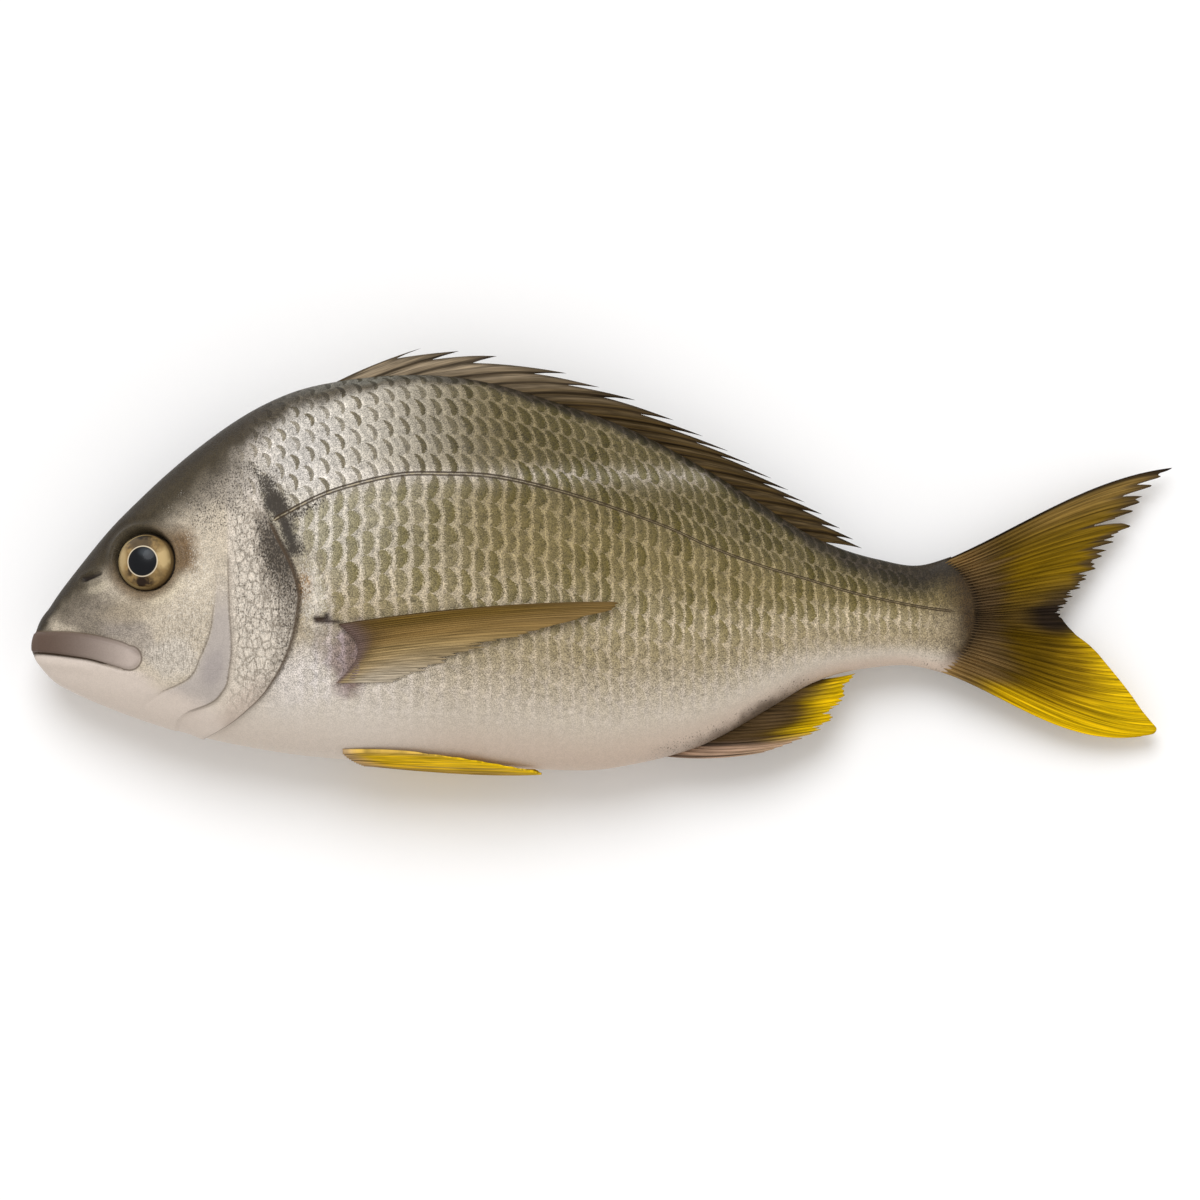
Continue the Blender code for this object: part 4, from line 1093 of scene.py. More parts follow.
def skin_fields(skin, settings, plum):
    """The colours, scales, grains and lines that the skin's material reads."""
    station, height, share = skin.station, skin.height, skin.share
    gill = curve_distance(station, height, gill_station)
    cheek = curve_distance(station, height, cheek_station)
    fold = curve_distance(station, height, fold_station)
    lateral = curve_distance(height, station, lateral_height)
    mouth = curve_distance(height, station, mouth_height)
    gill_shown = ramp(height, 0.0170, 0.0100) * (0.90 + 0.10 * ramp(height, -0.0500, -0.0300))
    cheek_shown = ramp(height, 0.0110, 0.0000) * ramp(height, -0.0450, -0.0410)
    fold_shown = ramp(height, -0.0060, -0.0130) * ramp(height, -0.0400, -0.0350)
    lateral_shown = ramp(station, 0.0655, 0.0685) * ramp(station, 0.2690, 0.2560)
    mouth_shown = ramp(station, 0.0270, 0.0200)
    lip_shown = ramp(mouth, 0.0004, 0.0012) + ramp(station, 0.0235, 0.0255)

    rearward = ramp(station, 0.0950, 0.1500)
    above = ramp(skin.scale_q, 0.35, -0.05)
    contrast = (0.86 + 0.14 * rearward) * (0.85 + 0.15 * above) * (0.35 + 0.65 * ramp(share, 0.20, 0.52))
    contrast = contrast * (1 - 0.35 * ramp(station, 0.2250, 0.2550))
    contrast = contrast * (1 - 0.30 * ramp(share, 0.46, 0.34) * ramp(skin.scale_q, 1.0, 2.5))
    fullness = np.maximum(rearward, ramp(skin.scale_q, 0.0, 0.6) * 0.85)
    behind = ramp(gill, -0.0006, 0.0010)
    throat = ramp(height + 0.40 * station, -0.0150, -0.0215) * (1 - behind)
    smooth = np.maximum(ramp(share, 0.26, 0.06), throat)
    smooth = np.maximum(smooth, on_lip(skin))
    band = ramp(fold, 0.0, 0.0006) * ramp(cheek, 0.0, -0.0006) * ramp(height, -0.0060, -0.0130)
    smooth = np.maximum(smooth, 0.85 * band)
    speckle = (1 - 0.85 * smooth) * (0.70 + 0.30 * behind)
    face = soft_mark(skin, 0.0450, -0.0100, 0.0150, 0.0280, 0, 0.9) * ramp(eye_distance(skin), 0.0100, 0.0160)
    plate = ramp(cheek, 0.0, 0.0030) * ramp(gill, 0.0010, -0.0010) * ramp(height, 0.0260, 0.0100)
    # The glitter's share: painted glints and sheen of light on the face, the gill cover and the shoulder
    # behind it
    gleam = np.maximum(0.32 * face, 0.46 * plate)
    gleam = np.maximum(gleam, 0.55 * soft_mark(skin, 0.0795, -0.0100, 0.0065, 0.0130, 8, 0.9))
    pepper = 0.66 * gill_shade(skin, 1.35)
    gleam = gleam * (1 - gill_shade(skin, 1.2))
    pepper = np.maximum(pepper, 0.16 * plate * ramp(height, -0.0300, -0.0100))
    nape = hat(station, 0.0350, 0.0620, 0.1000) * ramp(skin.depth, 2.2 * forehead_depth(station), 0.0)
    pepper = np.maximum(pepper, 0.34 * nape)
    pepper = np.maximum(pepper, 0.30 * soft_mark(skin, 0.0560, 0.0200, 0.0200, 0.0130, 35, 0.9))
    pepper = np.maximum(pepper, 0.15 * soft_mark(skin, 0.0880, -0.0240, 0.0080, 0.0110, 0, 0.9))
    blotch = segment_distance(station, height, *BLOTCH_GRAINS)
    pepper = np.maximum(pepper, 0.92 * ramp(blotch + 0.0012 * skin.wander, 0.0058, 0.0000))
    streak = segment_distance(station, height, *NAPE_GRAINS)
    pepper = np.maximum(pepper, 0.55 * ramp(streak + 0.0008 * skin.wander, 0.0032, 0.0000))
    # Speckles in the painted shadow of the gill opening
    opening_shadow = segment_distance(station, height, *OPENING_SHADOW_SPECKLES)
    opening_shadow = ramp(opening_shadow + 0.0010 * skin.wander, 0.0044, 0.0000) * (gill > -0.0004)
    pepper = np.maximum(pepper, 0.88 * opening_shadow)
    under_line = bell(lateral + 0.0016, 0.0016) * ramp(station, 0.0700, 0.0720)
    under_line = under_line * ramp(station, 0.0900, 0.0740)
    pepper = np.maximum(pepper, 0.7 * under_line)
    off_notch = ramp(segment_distance(station, height, *FIN_NOTCH_SMOOTH), 0.0008, 0.0030)
    belly_foot = ramp(station, 0.1680, 0.1800) * ramp(station, 0.2240, 0.2120)
    foot = 0.16 * ramp(height - belly_height(station), 0.0070, 0.0010) * belly_foot
    grainy_end = 0.10 * ramp(skin.marks, 0.2420, 0.2560) * ramp(skin.marks, 0.2660, 0.2590)
    bristle = 0.42 * soft_mark(skin, 0.0420, -0.0220, 0.0120, 0.0110, 0, 0.7) + 0.35 * plate
    bristle = np.maximum(bristle, 0.70 * ramp(blotch, 0.0085, 0.0010))
    crackle = np.maximum(0.75 * plate, 0.20 * face)
    chest = soft_mark(skin, 0.0795, -0.0090, 0.0075, 0.0190, 8, 0.8) * (gill > 0)
    crackle = np.maximum(crackle, 0.55 * chest)
    rough, unused = 1 - smooth, 0 * share
    return {
        "tint": skin_tint(skin, settings, plum),
        "scale_place": np.stack([skin.scale_p, skin.scale_q, scale_strength(skin)], -1),
        "tone": np.stack([contrast, fullness, speckle], -1),
        "grains": np.stack([
            gleam * rough * off_notch,
            np.maximum(pepper * rough, np.maximum(foot, grainy_end)),
            bristle * rough,
        ], -1),
        "finish": np.stack([crackle * rough * off_notch, unused, unused], -1),
        "body_lines": np.stack([
            line_field(gill, gill_shown),
            line_field(cheek, cheek_shown),
            line_field(lateral * (1 + 0.6 * ramp(station, 0.1200, 0.1900)), lateral_shown),
        ], -1),
        "head_lines": np.stack([
            line_field(mouth, mouth_shown),
            line_field(fold, fold_shown),
            line_field(lip_distance(skin), lip_shown),
        ], -1),
    }


def make_skin(settings, plum):
    """The trunk and the head, as one closed skin."""
    skin = Skin(settings)
    fade = np.minimum(1, skin.side / 0.0030)
    relief = head_relief(skin, settings) * ramp(skin.station, 0.1100, 0.0950) * fade
    relief = relief + body_relief(skin, settings) * fade
    points = skin.points + skin.normals * relief[..., None]
    points[..., 2] = np.maximum(points[..., 2], 0.0001)
    return grid_piece("skin", points, skin_fields(skin, settings, plum), skin_material())


def teeth(place, notch, drop):
    """How far the edge falls back between the rays: at once behind a ray, if drop is small."""
    within = place - np.floor(place)
    return notch * np.clip(np.minimum(within / drop, (1 - within) / (1 - drop)), 0, 1)


def fray(place, amount, seed):
    """How far each ray falls short of the fin's smooth edge."""
    rays = int(round(place[-1])) + 1
    return amount * np.interp(place, range(rays), np.random.default_rng(seed).random(rays))


class Fan:
    """A fin's rays spread between control rays, as arrays of columns by steps.

    The fin starts a little before its root, by the sink, so that the skin hides its first edge.
    """

    def __init__(self, controls, rays, per_ray, steps, short, skew=1, sink=0.0):
        self.place = np.linspace(0, rays - 1, (rays - 1) * per_ray + 1)
        index = self.place / (rays - 1) * (len(controls) - 1)
        smooth = [cubic(list(enumerate(column)))(index) for column in zip(*controls)]
        ray = np.stack(smooth, 1)
        self.within = self.place - np.floor(self.place)
        reach = 1 - short(self.place)
        start = -sink * np.sqrt(np.abs(np.sin(math.pi * self.place / (rays - 1))))[:, None]
        self.run = start + (1 - start) * np.linspace(0, 1, steps + 1)[None, :]
        share = self.run * reach[:, None]
        root, tip, bow = ray[:, None, 0:2], ray[:, None, 2:4], ray[:, 4, None]
        along = tip - root
        across = np.stack([-along[..., 1], along[..., 0]], -1)
        across /= np.linalg.norm(along, axis=-1)[..., None]
        top = (skew + 1) ** (skew + 1) / skew**skew
        bend = top * bow * np.maximum(share, 0) ** skew * (1 - share)
        flat = root + along * share[..., None] + across * bend[..., None]
        self.first, self.second = flat[..., 0], flat[..., 1]
        self.share = (self.place / (rays - 1))[:, None] + 0 * self.run
        self.ray = self.place[:, None] + 0 * self.run
        self.ridge = (0.5 + 0.5 * np.cos(2 * math.pi * self.within))[:, None] ** 1.5

    def half(self, halves, membrane):
        """Half the fin's thickness: thick at the root and on the rays, thin at the tip and between them."""
        root_half, tip_half = halves
        plain = root_half + (tip_half - root_half) * np.maximum(self.run, 0) ** 0.6
        return plain * (membrane + (1 - membrane) * self.ridge)


def make_fin(name, fan, middle, half, direction, tint, material):
    """A closed fin with a face on each side of its middle points, half thick along the direction."""
    fields = {"tint": tint, "fin": np.stack([fan.ray, fan.run, 0 * fan.run], -1)}

    def folded(values):
        """The values on both faces, and round the fin's ends."""
        padded = np.concatenate([values[:1], values, values[-1:]])
        return np.concatenate([padded, padded[:, ::-1], padded[:, :1]], axis=1)

    middle = np.concatenate([middle[:1], middle, middle[-1:]])
    offset = np.pad(half, ((1, 1), (0, 0)))[..., None] * np.array(direction, float)
    upper, lower = middle + offset, middle - offset
    points = np.concatenate([upper, lower[:, ::-1], upper[:, :1]], axis=1)
    return grid_piece(name, points, {key: folded(value) for key, value in fields.items()}, material)


def fin_material(name, ray_darkness, strands):
    """A thin wet fin with fine strands along its rays, and thin dark lines between them."""
    sheet = Sheet(name)
    tint = sheet.field_colour("tint")
    ray, run, _ = sheet.field("fin")
    centre = sheet.math("ABSOLUTE", sheet.math("SUBTRACT", sheet.math("FRACT", ray), 0.5))
    edge = sheet.span(centre, 0.30, 0.50)

    def strand(times, length, seed):
        """Noise drawn out along the rays."""
        across = sheet.math("MULTIPLY", ray, times)
        along = sheet.math("MULTIPLY", run, length)
        hairs = sheet.noise(1.0, 2.0, place=sheet.vector(across, along, seed))
        return sheet.span(hairs, 0.34, 0.66, -1.0, 1.0)

    broad, thin = strand(strands, 2.0, 1.0), strand(strands * 3.0, 3.5, 5.0)
    across_joints = strand(1.5, RAY_JOINTS, 9.0)
    darker = sheet.math("MULTIPLY", edge, sheet.span(across_joints, -1.0, 1.0, 0.6, 1.0, "LINEAR"))
    darker = sheet.math("MULTIPLY", darker, ray_darkness)
    hairs = sheet.math("ADD", sheet.math("MULTIPLY", broad, 0.55), sheet.math("MULTIPLY", thin, 0.45))
    gain = sheet.math("MULTIPLY_ADD", hairs, 0.56, 1.0)
    colour = sheet.mix(1.0, tint, sheet.grey(gain), "MULTIPLY")
    deep = sheet.mix(1.0, colour, (0.30, 0.26, 0.22, 1.0), "MULTIPLY")
    colour = sheet.mix(darker, colour, deep)
    normal = sheet.bump(sheet.math("ADD", edge, sheet.math("MULTIPLY", hairs, 0.5)), 0.00008)
    return sheet.finish(colour, normal, 0.55, level=0.04)


def dorsal_fin(settings):
    """The spiny fin folded back along the back."""
    sunk = [(a, b - ROOT_SINK, c, d + GAP, bow) for a, b, c, d, bow in DORSAL_RAYS]
    fan = Fan(sunk, 17, 12, settings.steps, lambda place: teeth(place, 0.30, 0.14))
    z = middle_plane(fan.first) + 0.0005 * np.sin(fan.ray * math.pi) * fan.run
    half = fan.half((0.0013, 0.0003), settings.ray_share)
    within = fan.within[:, None]
    front = ramp(fan.share, 0.42, 0.04)
    tint = blend_colours(settings.brown, settings.pale, 0.68 * front)
    blade = np.sin(math.pi * np.clip((within - 0.12) / 0.6, 0, 1)) * ramp(fan.run, -0.1, 0.35)
    tint = blend_colours(tint, settings.pale, (0.09 + 0.80 * front) * blade)
    stripe = 0.5 + 0.5 * np.sin(2 * math.pi * (within * 3.0 + 0.2 + 0.4 * fan.run))
    tint = blend_colours(tint, settings.dark, (0.40 - 0.15 * front) * stripe * ramp(fan.run, 1.0, 0.3))
    tint = blend_colours(tint, settings.dark, 0.85 * bell(within - 0.03, 0.07))
    tint = blend_colours(tint, settings.dark, 0.70 * ramp(fan.run, 0.74, 1.0))
    material = fin_material("spiny_fin", 0.35, 5.0)
    return make_fin("dorsal_rays", fan, in_fish(fan.first, fan.second, z), half, (0, 0, 1), tint, material)


def slit(place, least, most, seed):
    """How deep the gap between two rays cuts into the fin's edge, as a V."""
    gaps = np.floor(place).astype(int)
    depths = np.random.default_rng(seed).uniform(least, most, gaps[-1] + 1)[gaps]
    return depths * np.clip(1 - np.abs(place - gaps - 0.5) / 0.42, 0, 1)


def tail_short(place):
    """How far the tail's rays fall short: a frayed and slit upper lobe, and a smooth lower one."""
    share = place / place[-1]
    ends = ramp(share, 0.0, 0.03) * ramp(share, 1.0, 0.97)
    upper = ramp(share, 0.57, 0.50) * ends
    short = upper * (slit(place, 0.03, 0.11, 23) + fray(place, 0.030, 21)) + ends * fray(place, 0.008, 22)
    width = 0.75 / place[-1]
    for at, depth in TAIL_SLITS:
        short = np.maximum(short, depth * np.clip(1 - np.abs(share - at) / width, 0, 1) ** 1.4)
    return short


def tail_fin(settings):
    """The forked tail fin: golden above, yellow below, and dark at its root and fork."""
    fan = Fan(TAIL_RAYS, 46, 8, settings.steps, tail_short, skew=2, sink=TAIL_SINK)
    z = middle_plane(fan.first) + 0.0004 * np.sin(fan.ray * 0.9) * np.maximum(fan.run, 0)
    half = fan.half((0.0024, 0.00025), settings.ray_share) * ramp(fan.run - fan.run[:, :1], -0.02, 0.16)
    share, run = fan.share, fan.run + fray(fan.place, 0.10, 24)[:, None] - 0.05
    lower = ramp(share, 0.52, 0.66)
    gold = blend_colours(settings.umber, settings.golden, bell(share - 0.24, 0.22) * ramp(run, 0.12, 0.42))
    shaded = blend_colours(settings.umber, settings.deep_gold, ramp(run, 0.10, 0.40))
    yellow = blend_colours(shaded, settings.yellow, ramp(run + 2.2 * (share - 0.754), 0.45, 1.05))
    tint = blend_colours(gold, yellow, lower)
    low_end = ramp(run + 0.5 * ramp(share, 0.66, 1.0), 0.84, 1.20)
    tint = blend_colours(tint, settings.bright, 0.90 * lower * low_end)
    rim = ramp(share, 0.88, 0.98) * ramp(run, 0.10, 0.36)
    tint = blend_colours(tint, settings.bright, 0.7 * rim)
    outer = ramp(share, 0.12, 0.02) * ramp(run, 0.2, 0.6)
    tint = blend_colours(tint, TAIL_BUFF, 0.70 * outer)
    tips = ramp(run, 0.86, 0.99) * ramp(share, 0.56, 0.50)
    tint = blend_colours(tint, settings.tip, 0.85 * tips)
    low_tips = ramp(share, 0.28, 0.46) * ramp(share, 0.56, 0.50) * ramp(run, 0.55, 0.90)
    tint = blend_colours(tint, settings.tip, 0.80 * low_tips)
    fork = ramp(share, 0.43, 0.50) * ramp(share, 0.66, 0.58) * ramp(run, 0.36, 0.78)
    tint = blend_colours(tint, settings.dark, 0.96 * fork)
    root = blend_colours(TAIL_ROOT_MIDDLE, TAIL_ROOT_SIDES, ramp(np.abs(share - 0.5), 0.12, 0.5))
    tint = blend_colours(tint, root, ramp(run, 0.30, 0.02))
    start = blend_colours(TAIL_START_UPPER, TAIL_START_LOWER, ramp(share, 0.76, 0.98))
    tint = blend_colours(tint, start, ramp(fan.run, 0.05, -0.08))
    tint = blend_colours(tint, settings.dark, 0.95 * ramp(share, 0.022, 0.004))
    material = fin_material("tail_strands", 0.52, 3.0)
    return make_fin("tail_rays", fan, in_fish(fan.first, fan.second, z), half, (0, 0, 1), tint, material)


def anal_fin(settings):
    """The fin under the tail, pinkish brown in front and yellow at its rear tips."""
    sunk = [(a, b + ROOT_SINK, c, d, bow) for a, b, c, d, bow in ANAL_RAYS]

    def between(share):
        """0 at the tip of each lobe of the edge, and 1 halfway between two."""
        return np.sin(math.pi * np.interp(share, (0.286, 0.43, 0.714, 1.0), (0, 1, 2, 3))) ** 2

    def short(place):
        """How far the rays fall short: between the lobes, in slits and in frayed tips."""
        share = place / place[-1]
        return 0.09 * between(share) ** 1.5 + slit(place, 0.02, 0.08, 6) + fray(place, 0.014, 5)

    fan = Fan(sunk, 22, 8, settings.steps, short)
    z = middle_plane(fan.first) + 0.0005 * np.sin(fan.ray * 1.1) * fan.run
    half = fan.half((0.0011, 0.0003), settings.ray_share)
    front = ramp(fan.share, 0.30, 0.14)
    run = fan.run + fray(fan.place, 0.22, 7)[:, None] - 0.18 + 0.22 * ramp(fan.share, 0.55, 1.0)
    tint = blend_colours(settings.deep_gold, settings.bright, ramp(run, 0.45, 0.95))
    tint = blend_colours(tint, ANAL_BROWN, 0.95 * ramp(run, 0.66, 0.30))
    tint = blend_colours(tint, settings.root, 0.55 * between(fan.share) * ramp(fan.run, 0.95, 0.5))
    tint = blend_colours(tint, settings.flesh, front * 0.95)
    spine = bell(fan.share - 0.22, 0.030) + bell(fan.share - 0.03, 0.014)
    tint = blend_colours(tint, settings.dark, 0.80 * spine * ramp(fan.run, 1.05, 0.6))
    material = fin_material("anal_strands", 0.55, 3.0)
    return make_fin("anal_rays", fan, in_fish(fan.first, fan.second, z), half, (0, 0, 1), tint, material)


def pectoral_tint(fan, settings):
    """Olive above, and clear enough below for the skin to show through."""
    tint = blend_colours(settings.olive, settings.amber, ramp(fan.share, 0.08, 0.34))
    tint = blend_colours(tint, settings.clear, ramp(fan.share, 0.34, 0.62))
    low = ramp(fan.share, 0.50, 0.92) * (0.45 + 0.55 * ramp(fan.run, 0.10, 0.60))
    tint = blend_colours(tint, PECTORAL_PALE, 0.95 * low)
    lowest = 0.75 * ramp(fan.share, 0.72, 1.0) * ramp(fan.run, 0.10, 0.45)
    tint = blend_colours(tint, PECTORAL_SILVER, lowest)
    upper_tips = 0.60 * ramp(fan.run, 0.55, 0.95) * ramp(fan.share, 0.60, 0.25)
    tint = blend_colours(tint, PECTORAL_TAN, upper_tips)
    shade = ramp(fan.run, 0.20, 0.04) * ramp(fan.share, 1.0, 0.5)
    tint = blend_colours(tint, settings.root, 0.60 * shade)
    tint = blend_colours(tint, settings.plum, 0.9 * ramp(fan.run, 0.10, 0.01))
    return blend_colours(tint, settings.root, 0.65 * ramp(fan.share, 0.05, 0.0))


def left_pectoral_fin(settings, material):
    """The fin that lies along the shown flank, with its lower rays spread apart and sunk to the skin."""

    def short(place):
        """How far the rays fall short: a little above, and unevenly below."""
        share = place / place[-1]
        spread = ramp(share, 0.35, 0.62)
        return fray(place, 0.03, 31) + spread * (fray(place, 0.14, 33) + slit(place, 0.06, 0.16, 34))

    fan = Fan(PECTORAL_RAYS, 28, 6, settings.steps, short)
    hug = ramp(fan.share, 1.0, 0.20)
    upper = fan.half((0.0007, 0.00015), settings.ray_share)
    lower = fan.half((0.0006, 0.0001), settings.ray_share)
    half = upper * hug + lower * (1 - hug)
    wave = 0.0002 * np.sin(fan.ray * 0.9) * fan.run
    clear = 0.0002 + hug * (GAP + 0.0008 + PECTORAL_LIFT * fan.run + wave)
    z = middle_plane(fan.first) + skin_side(fan.first, fan.second) + clear
    points, tint = in_fish(fan.first, fan.second, z), pectoral_tint(fan, settings)
    return make_fin("pectoral_rays_left", fan, points, half, (0, 0, 1), tint, material)


def right_pectoral_fin(settings, material):
    """The fin that is folded under the belly, between the right flank and the table."""
    fan = Fan(HIDDEN_PECTORAL_RAYS, 20, 6, settings.steps // 2, lambda place: fray(place, 0.035, 32))
    half = fan.half((0.0004, 0.0003), settings.ray_share)
    share = np.interp(fan.run, (0, 1), HIDDEN_PECTORAL_SHARES)
    clearance = np.maximum(middle_plane(fan.first) - skin_side(fan.first, fan.second), 0)
    z = np.maximum(clearance * share, HIDDEN_PECTORAL_LEAST)
    points, tint = in_fish(fan.first, fan.second, z), pectoral_tint(fan, settings)
    return make_fin("pectoral_rays_right", fan, points, half, (0, 0, 1), tint, material)


def pelvic_fin(name, sign, droop, splay, settings, material):
    """One of the paired yellow fins that lie back along the belly."""
    fan = Fan(PELVIC_RAYS, 10, 9, settings.steps, lambda place: fray(place, 0.010, 41))
    side = fan.second + splay * fan.run
    half = fan.half((0.0008, 0.0003), settings.ray_share)
    height = belly_skin(fan.first, side) - GAP - 0.0007 - (PELVIC_LIFT + droop) * fan.run
    z = middle_plane(fan.first) + sign * side
    tint = blend_colours(PELVIC_OCHRE, PELVIC_YELLOW, ramp(fan.share, 0.05, 0.28))
    tint = blend_colours(tint, settings.peach, 0.40 * ramp(fan.share, 0.80, 1.0))
    tint = blend_colours(tint, settings.peach, 0.90 * ramp(fan.run, 0.24, 0.0))
    # Painted highlight along the ridge of the blade
    ridge = 0.85 * bell(fan.share - 0.35, 0.075) * ramp(fan.run, 0.15, 0.45)
    tint = blend_colours(tint, settings.gleam, ridge)
    tips = 0.70 * ramp(fan.run, 0.80, 1.0) * ramp(fan.share, 0.9, 0.6)
    tint = blend_colours(tint, settings.bright, tips)
    points = in_fish(fan.first, height, z)
    return make_fin(name, fan, points, half, (0, 1, 0), tint, material)


def eye_material(settings):
    """A wet golden eye with a black pupil that holds a painted reflection, a thin pale ring round it, a
    cloudy iris and painted shade at its top under the brow.
    """
    sheet = Sheet("wet_eye")
    across, up, away = sheet.field("iris")
    cloud = sheet.span(sheet.noise(700.0, 3.0), 0.32, 0.68, -1.0, 1.0)

    def distance(x, y, wide, tall):
        """Distance from a point of the iris, whose x grows towards the tail and y towards the back."""
        run = sheet.math("DIVIDE", sheet.math("SUBTRACT", across, x), wide)
        rise = sheet.math("DIVIDE", sheet.math("SUBTRACT", up, y), tall)
        squares = sheet.math("ADD", sheet.math("MULTIPLY", run, run), sheet.math("MULTIPLY", rise, rise))
        return sheet.math("SQRT", squares)

    def patch(x, y, wide, tall, strength, shade, under):
        """A soft cloudy patch of another colour."""
        reach = sheet.math("MULTIPLY_ADD", cloud, 0.16, distance(x, y, wide, tall))
        return sheet.mix(sheet.span(reach, 1.15, 0.45, 0.0, strength), under, (*shade, 1.0))

    rich = tuple(value * 1.45 for value in settings.iris)
    iris = sheet.mix(sheet.span(cloud, -1.0, 1.0), (*settings.iris, 1.0), (*rich, 1.0))
    iris = patch(-0.20, 0.64, 0.62, 0.34, 0.88, (0.075, 0.054, 0.032), iris)
    iris = patch(0.66, 0.10, 0.26, 0.44, 0.95, settings.glow, iris)
    iris = patch(-0.80, 0.04, 0.20, 0.48, 0.85, tuple(value * 0.75 for value in settings.glow), iris)
    iris = patch(-0.06, -0.71, 0.38, 0.23, 1.0, settings.iris_shade, iris)
    iris = patch(-0.47, -0.34, 0.16, 0.20, 0.85, settings.iris_shade, iris)
    iris = patch(-0.14, 0.88, 0.62, 0.15, 0.95, (0.014, 0.009, 0.006), iris)
    edge = sheet.mix(sheet.span(across, -0.5, 0.5), (*settings.rim, 1.0), (0.190, 0.120, 0.048, 1.0))
    colour = sheet.mix(sheet.span(away, 0.865, 0.905), iris, edge)
    colour = sheet.mix(sheet.span(away, 0.945, 0.985), colour, (0.075, 0.045, 0.022, 1.0))
    # Painted shade under the brow, along the eye's top edge
    painted_lid_shade = sheet.math("MULTIPLY", sheet.span(away, 0.90, 0.93), sheet.span(up, 0.62, 0.80))
    colour = sheet.mix(painted_lid_shade, colour, (0.020, 0.014, 0.010, 1.0))
    middle = distance(-0.045, -0.025, 1.0, 1.0)
    ring = sheet.span(middle, settings.ring + 0.010, settings.ring - 0.010)
    colour = sheet.mix(ring, colour, (*settings.ring_colour, 1.0))
    pupil = sheet.span(middle, settings.pupil + 0.014, settings.pupil - 0.014)
    # A painted reflection of a window in the top of the pupil
    painted_pupil_reflection = sheet.span(distance(0.02, 0.30, 0.30, 0.22), 1.0, 0.2)
    deep = sheet.mix(painted_pupil_reflection, (0.0035, 0.0045, 0.0065, 1.0), (0.030, 0.036, 0.042, 1.0))
    colour = sheet.mix(pupil, colour, deep)
    return sheet.finish(colour, None, 0.32, level=0.15, coat=0.12, coat_roughness=0.05)


def eye_place(sign):
    """The middle of an eye and the way it looks."""
    station, height, step = EYE_STATION, EYE_HEIGHT, 0.001
    side = skin_side(station, height)
    slope_x = (skin_side(station + step, height) - skin_side(station - step, height)) / (2 * step)
    slope_y = (skin_side(station, height + step) - skin_side(station, height - step)) / (2 * step)
    look = np.array([-EYE_TILT * slope_x, -EYE_TILT * slope_y, 1.0])
    look = look / np.linalg.norm(look)
    surface = np.array([station + SNOUT_X, height + AXIS_Y, side])
    middle = surface - look * (EYE_DEPTH - EYE_PROUD)
    middle[2] = middle_plane(station) + sign * middle[2]
    look[2] = sign * look[2]
    return middle, look


def make_eye(name, sign, material):
    """A flattened wet ball with its iris painted by the distance from the way it looks."""
    middle, look = eye_place(sign)
    side_axis = np.cross((0.0, 1.0, 0.0), look)
    side_axis = side_axis / np.linalg.norm(side_axis)
    up_axis = np.cross(look, side_axis)
    shape = bmesh.new()
    bmesh.ops.create_uvsphere(shape, u_segments=96, v_segments=64, radius=1)
    layer = shape.verts.layers.float_vector.new("iris")
    for vertex in shape.verts:
        across, up, out = vertex.co
        away = math.hypot(across, up)
        vertex[layer] = (sign * across, up, away)
        raised = out * (1 + 0.10 * max(0.0, 1 - (away / 0.62) ** 2))
        place = middle + EYE_RADIUS * (across * side_axis + up * up_axis) + raised * EYE_DEPTH * look
        vertex.co = place
    shape.normal_update()
    bmesh.ops.recalc_face_normals(shape, faces=shape.faces)
    mesh = bpy.data.meshes.new(name)
    shape.to_mesh(mesh)
    shape.free()
    mesh.shade_smooth()
    return shown_piece(name, mesh, material)


def make_floor(settings):
    """The plain pale floor."""
    sheet = Sheet("floor")
    material = sheet.finish((*settings.floor, 1.0), None, 0.9)
    shape = bmesh.new()
    bmesh.ops.create_grid(shape, x_segments=1, y_segments=1, size=FLOOR_HALF)
    mesh = bpy.data.meshes.new("floor")
    shape.to_mesh(mesh)
    shape.free()
    mesh.materials.append(material)
    floor = bpy.data.objects.new("floor", mesh)
    bpy.context.scene.collection.objects.link(floor)
    return floor


def make_lights(settings):
    """Soft light from all round, and a soft key light from beyond the back."""
    world = bpy.data.worlds.new("studio")
    world.use_nodes = True
    background = world.node_tree.nodes["Background"]
    background.inputs["Color"].default_value = SKY_COLOUR
    background.inputs["Strength"].default_value = settings.sky
    bpy.context.scene.world = world
    light = bpy.data.lights.new("key", "SUN")
    light.energy = settings.sun
    light.color = SUN_COLOUR
    light.angle = SUN_SPREAD
    key = bpy.data.objects.new("key", light)
    key.rotation_euler = (SUN_TURN, SUN_ROLL, 0)
    bpy.context.scene.collection.objects.link(key)


def make_camera(settings):
    """The camera, which looks straight down on the shown flank from far away."""
    data = bpy.data.cameras.new("camera")
    data.lens = settings.lens
    data.sensor_width = SENSOR_WIDTH
    camera = bpy.data.objects.new("camera", data)
    away = settings.view_width / data.sensor_width * data.lens
    camera.location = (LOOK_AT[0], LOOK_AT[1], LOOK_AT[2] + away)
    bpy.context.scene.collection.objects.link(camera)
    bpy.context.scene.camera = camera


def dress(piece, node):
    """Hides the plain node in whose place a piece is shown."""
    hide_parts(node)


class BREAM_OT_skin(bpy.types.Operator):
    """Make the scaled skin of the head and the trunk."""

    bl_idname = "bream.skin"
    bl_label = "Skin"

    def execute(self, context):
        bream = context.scene.sea_bream
        dress(make_skin(bream.skin, bream.fins.plum), "body")
        return {"FINISHED"}


class BREAM_OT_eyes(bpy.types.Operator):
    """Make the two wet eyes."""

    bl_idname = "bream.eyes"
    bl_label = "Eyes"

    def execute(self, context):
        material = eye_material(context.scene.sea_bream.eyes)
        dress(make_eye("eyeball_left", 1, material), "eye_left")
        dress(make_eye("eyeball_right", -1, material), "eye_right")
        return {"FINISHED"}


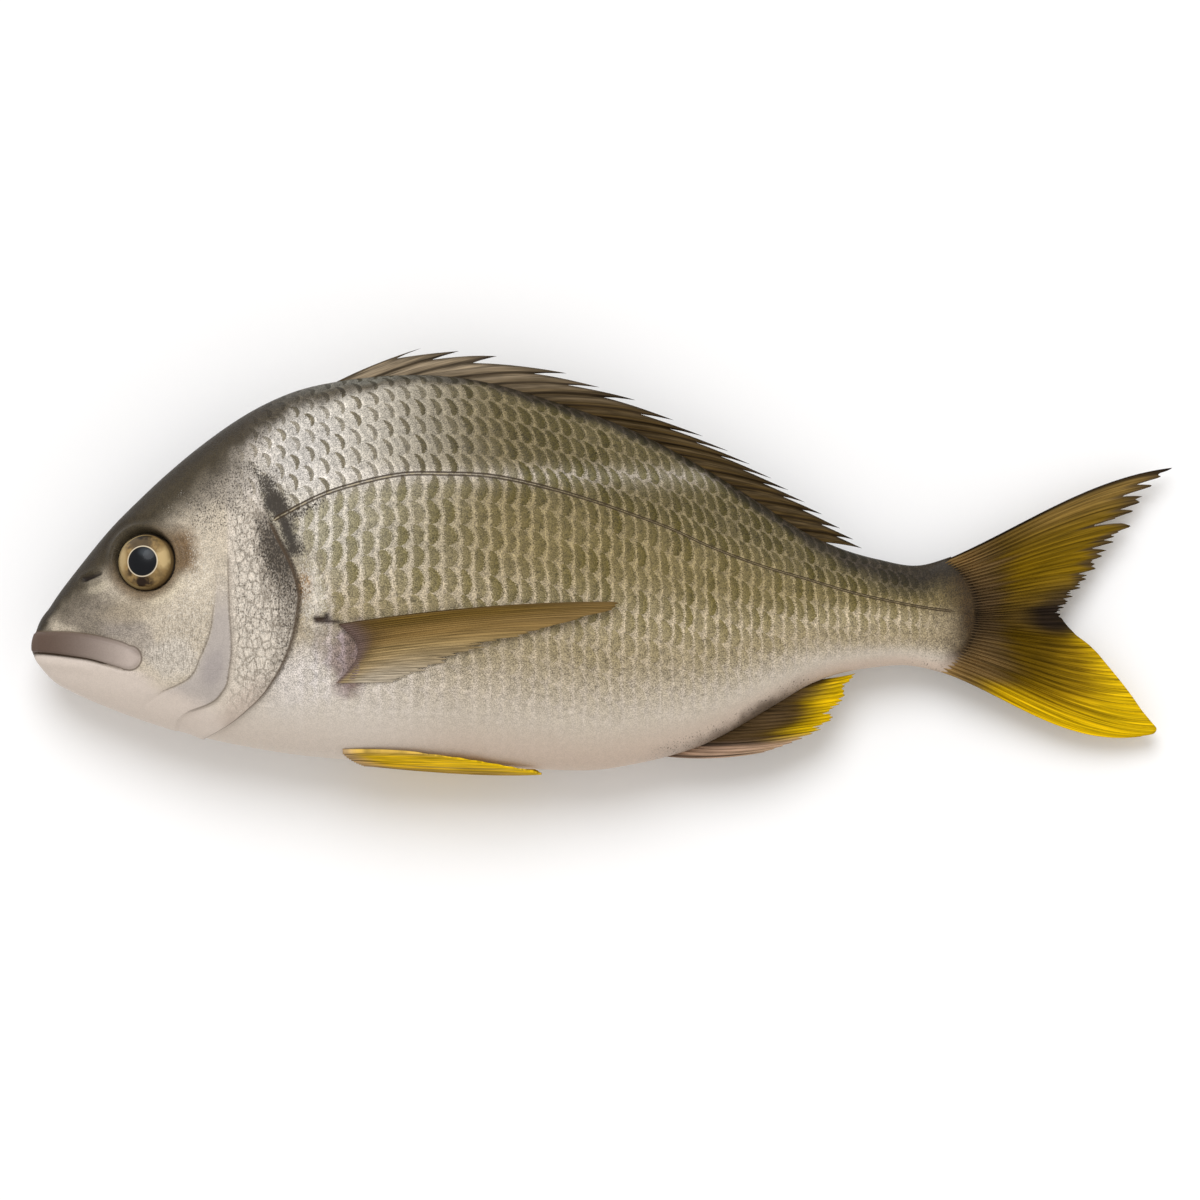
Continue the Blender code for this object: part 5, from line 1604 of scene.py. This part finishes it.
class BREAM_OT_upright_fins(bpy.types.Operator):
    """Make the fins in the fish's middle plane: the dorsal, tail and anal fins."""

    bl_idname = "bream.upright_fins"
    bl_label = "Upright fins"

    def execute(self, context):
        settings = context.scene.sea_bream.fins
        dress(dorsal_fin(settings), "dorsal_fin")
        dress(tail_fin(settings), "tail_fin")
        dress(anal_fin(settings), "anal_fin")
        return {"FINISHED"}


class BREAM_OT_paired_fins(bpy.types.Operator):
    """Make the pectoral and the pelvic fins of both sides."""

    bl_idname = "bream.paired_fins"
    bl_label = "Paired fins"

    def execute(self, context):
        settings = context.scene.sea_bream.fins
        olive = fin_material("pectoral_strands", 0.40, 3.0)
        dress(left_pectoral_fin(settings, olive), "pectoral_fin_left")
        dress(right_pectoral_fin(settings, olive), "pectoral_fin_right")
        yellow = fin_material("pelvic_strands", 0.15, 1.5)
        left = pelvic_fin("pelvic_rays_left", 1, 0.0, 0.0, settings, yellow)
        right = pelvic_fin("pelvic_rays_right", -1, PELVIC_DROOP, PELVIC_SPLAY, settings, yellow)
        dress(left, "pelvic_fin_left")
        dress(right, "pelvic_fin_right")
        return {"FINISHED"}


class BREAM_OT_stage(bpy.types.Operator):
    """Make the floor, the lights and the camera."""

    bl_idname = "bream.stage"
    bl_label = "Stage"

    def execute(self, context):
        settings = context.scene.sea_bream.stage
        context.scene.view_settings.view_transform = "Standard"
        make_floor(settings)
        make_lights(settings)
        make_camera(settings)
        return {"FINISHED"}


class BREAM_PT_panel(bpy.types.Panel):
    """Lists the pieces of the fish."""

    bl_idname = "BREAM_PT_panel"
    bl_label = "Sea Bream"
    bl_space_type = "VIEW_3D"
    bl_region_type = "UI"
    bl_category = "Sea Bream"

    def draw(self, context):
        for operator in OPERATORS:
            self.layout.operator(operator.bl_idname)


OPERATORS = (
    BREAM_OT_stage,
    BREAM_OT_skin,
    BREAM_OT_eyes,
    BREAM_OT_upright_fins,
    BREAM_OT_paired_fins,
)
CLASSES = (
    BreamSkinSettings,
    BreamFinSettings,
    BreamEyeSettings,
    BreamStageSettings,
    BreamSettings,
    *OPERATORS,
    BREAM_PT_panel,
)


def register():
    for item in CLASSES:
        bpy.utils.register_class(item)
    bpy.types.Scene.sea_bream = PointerProperty(type=BreamSettings)


def unregister():
    del bpy.types.Scene.sea_bream
    for item in reversed(CLASSES):
        bpy.utils.unregister_class(item)


def main():
    register()
    bpy.ops.bream.stage()
    bpy.ops.bream.skin()
    bpy.ops.bream.eyes()
    bpy.ops.bream.upright_fins()
    bpy.ops.bream.paired_fins()


if __name__ == "__main__":
    main()
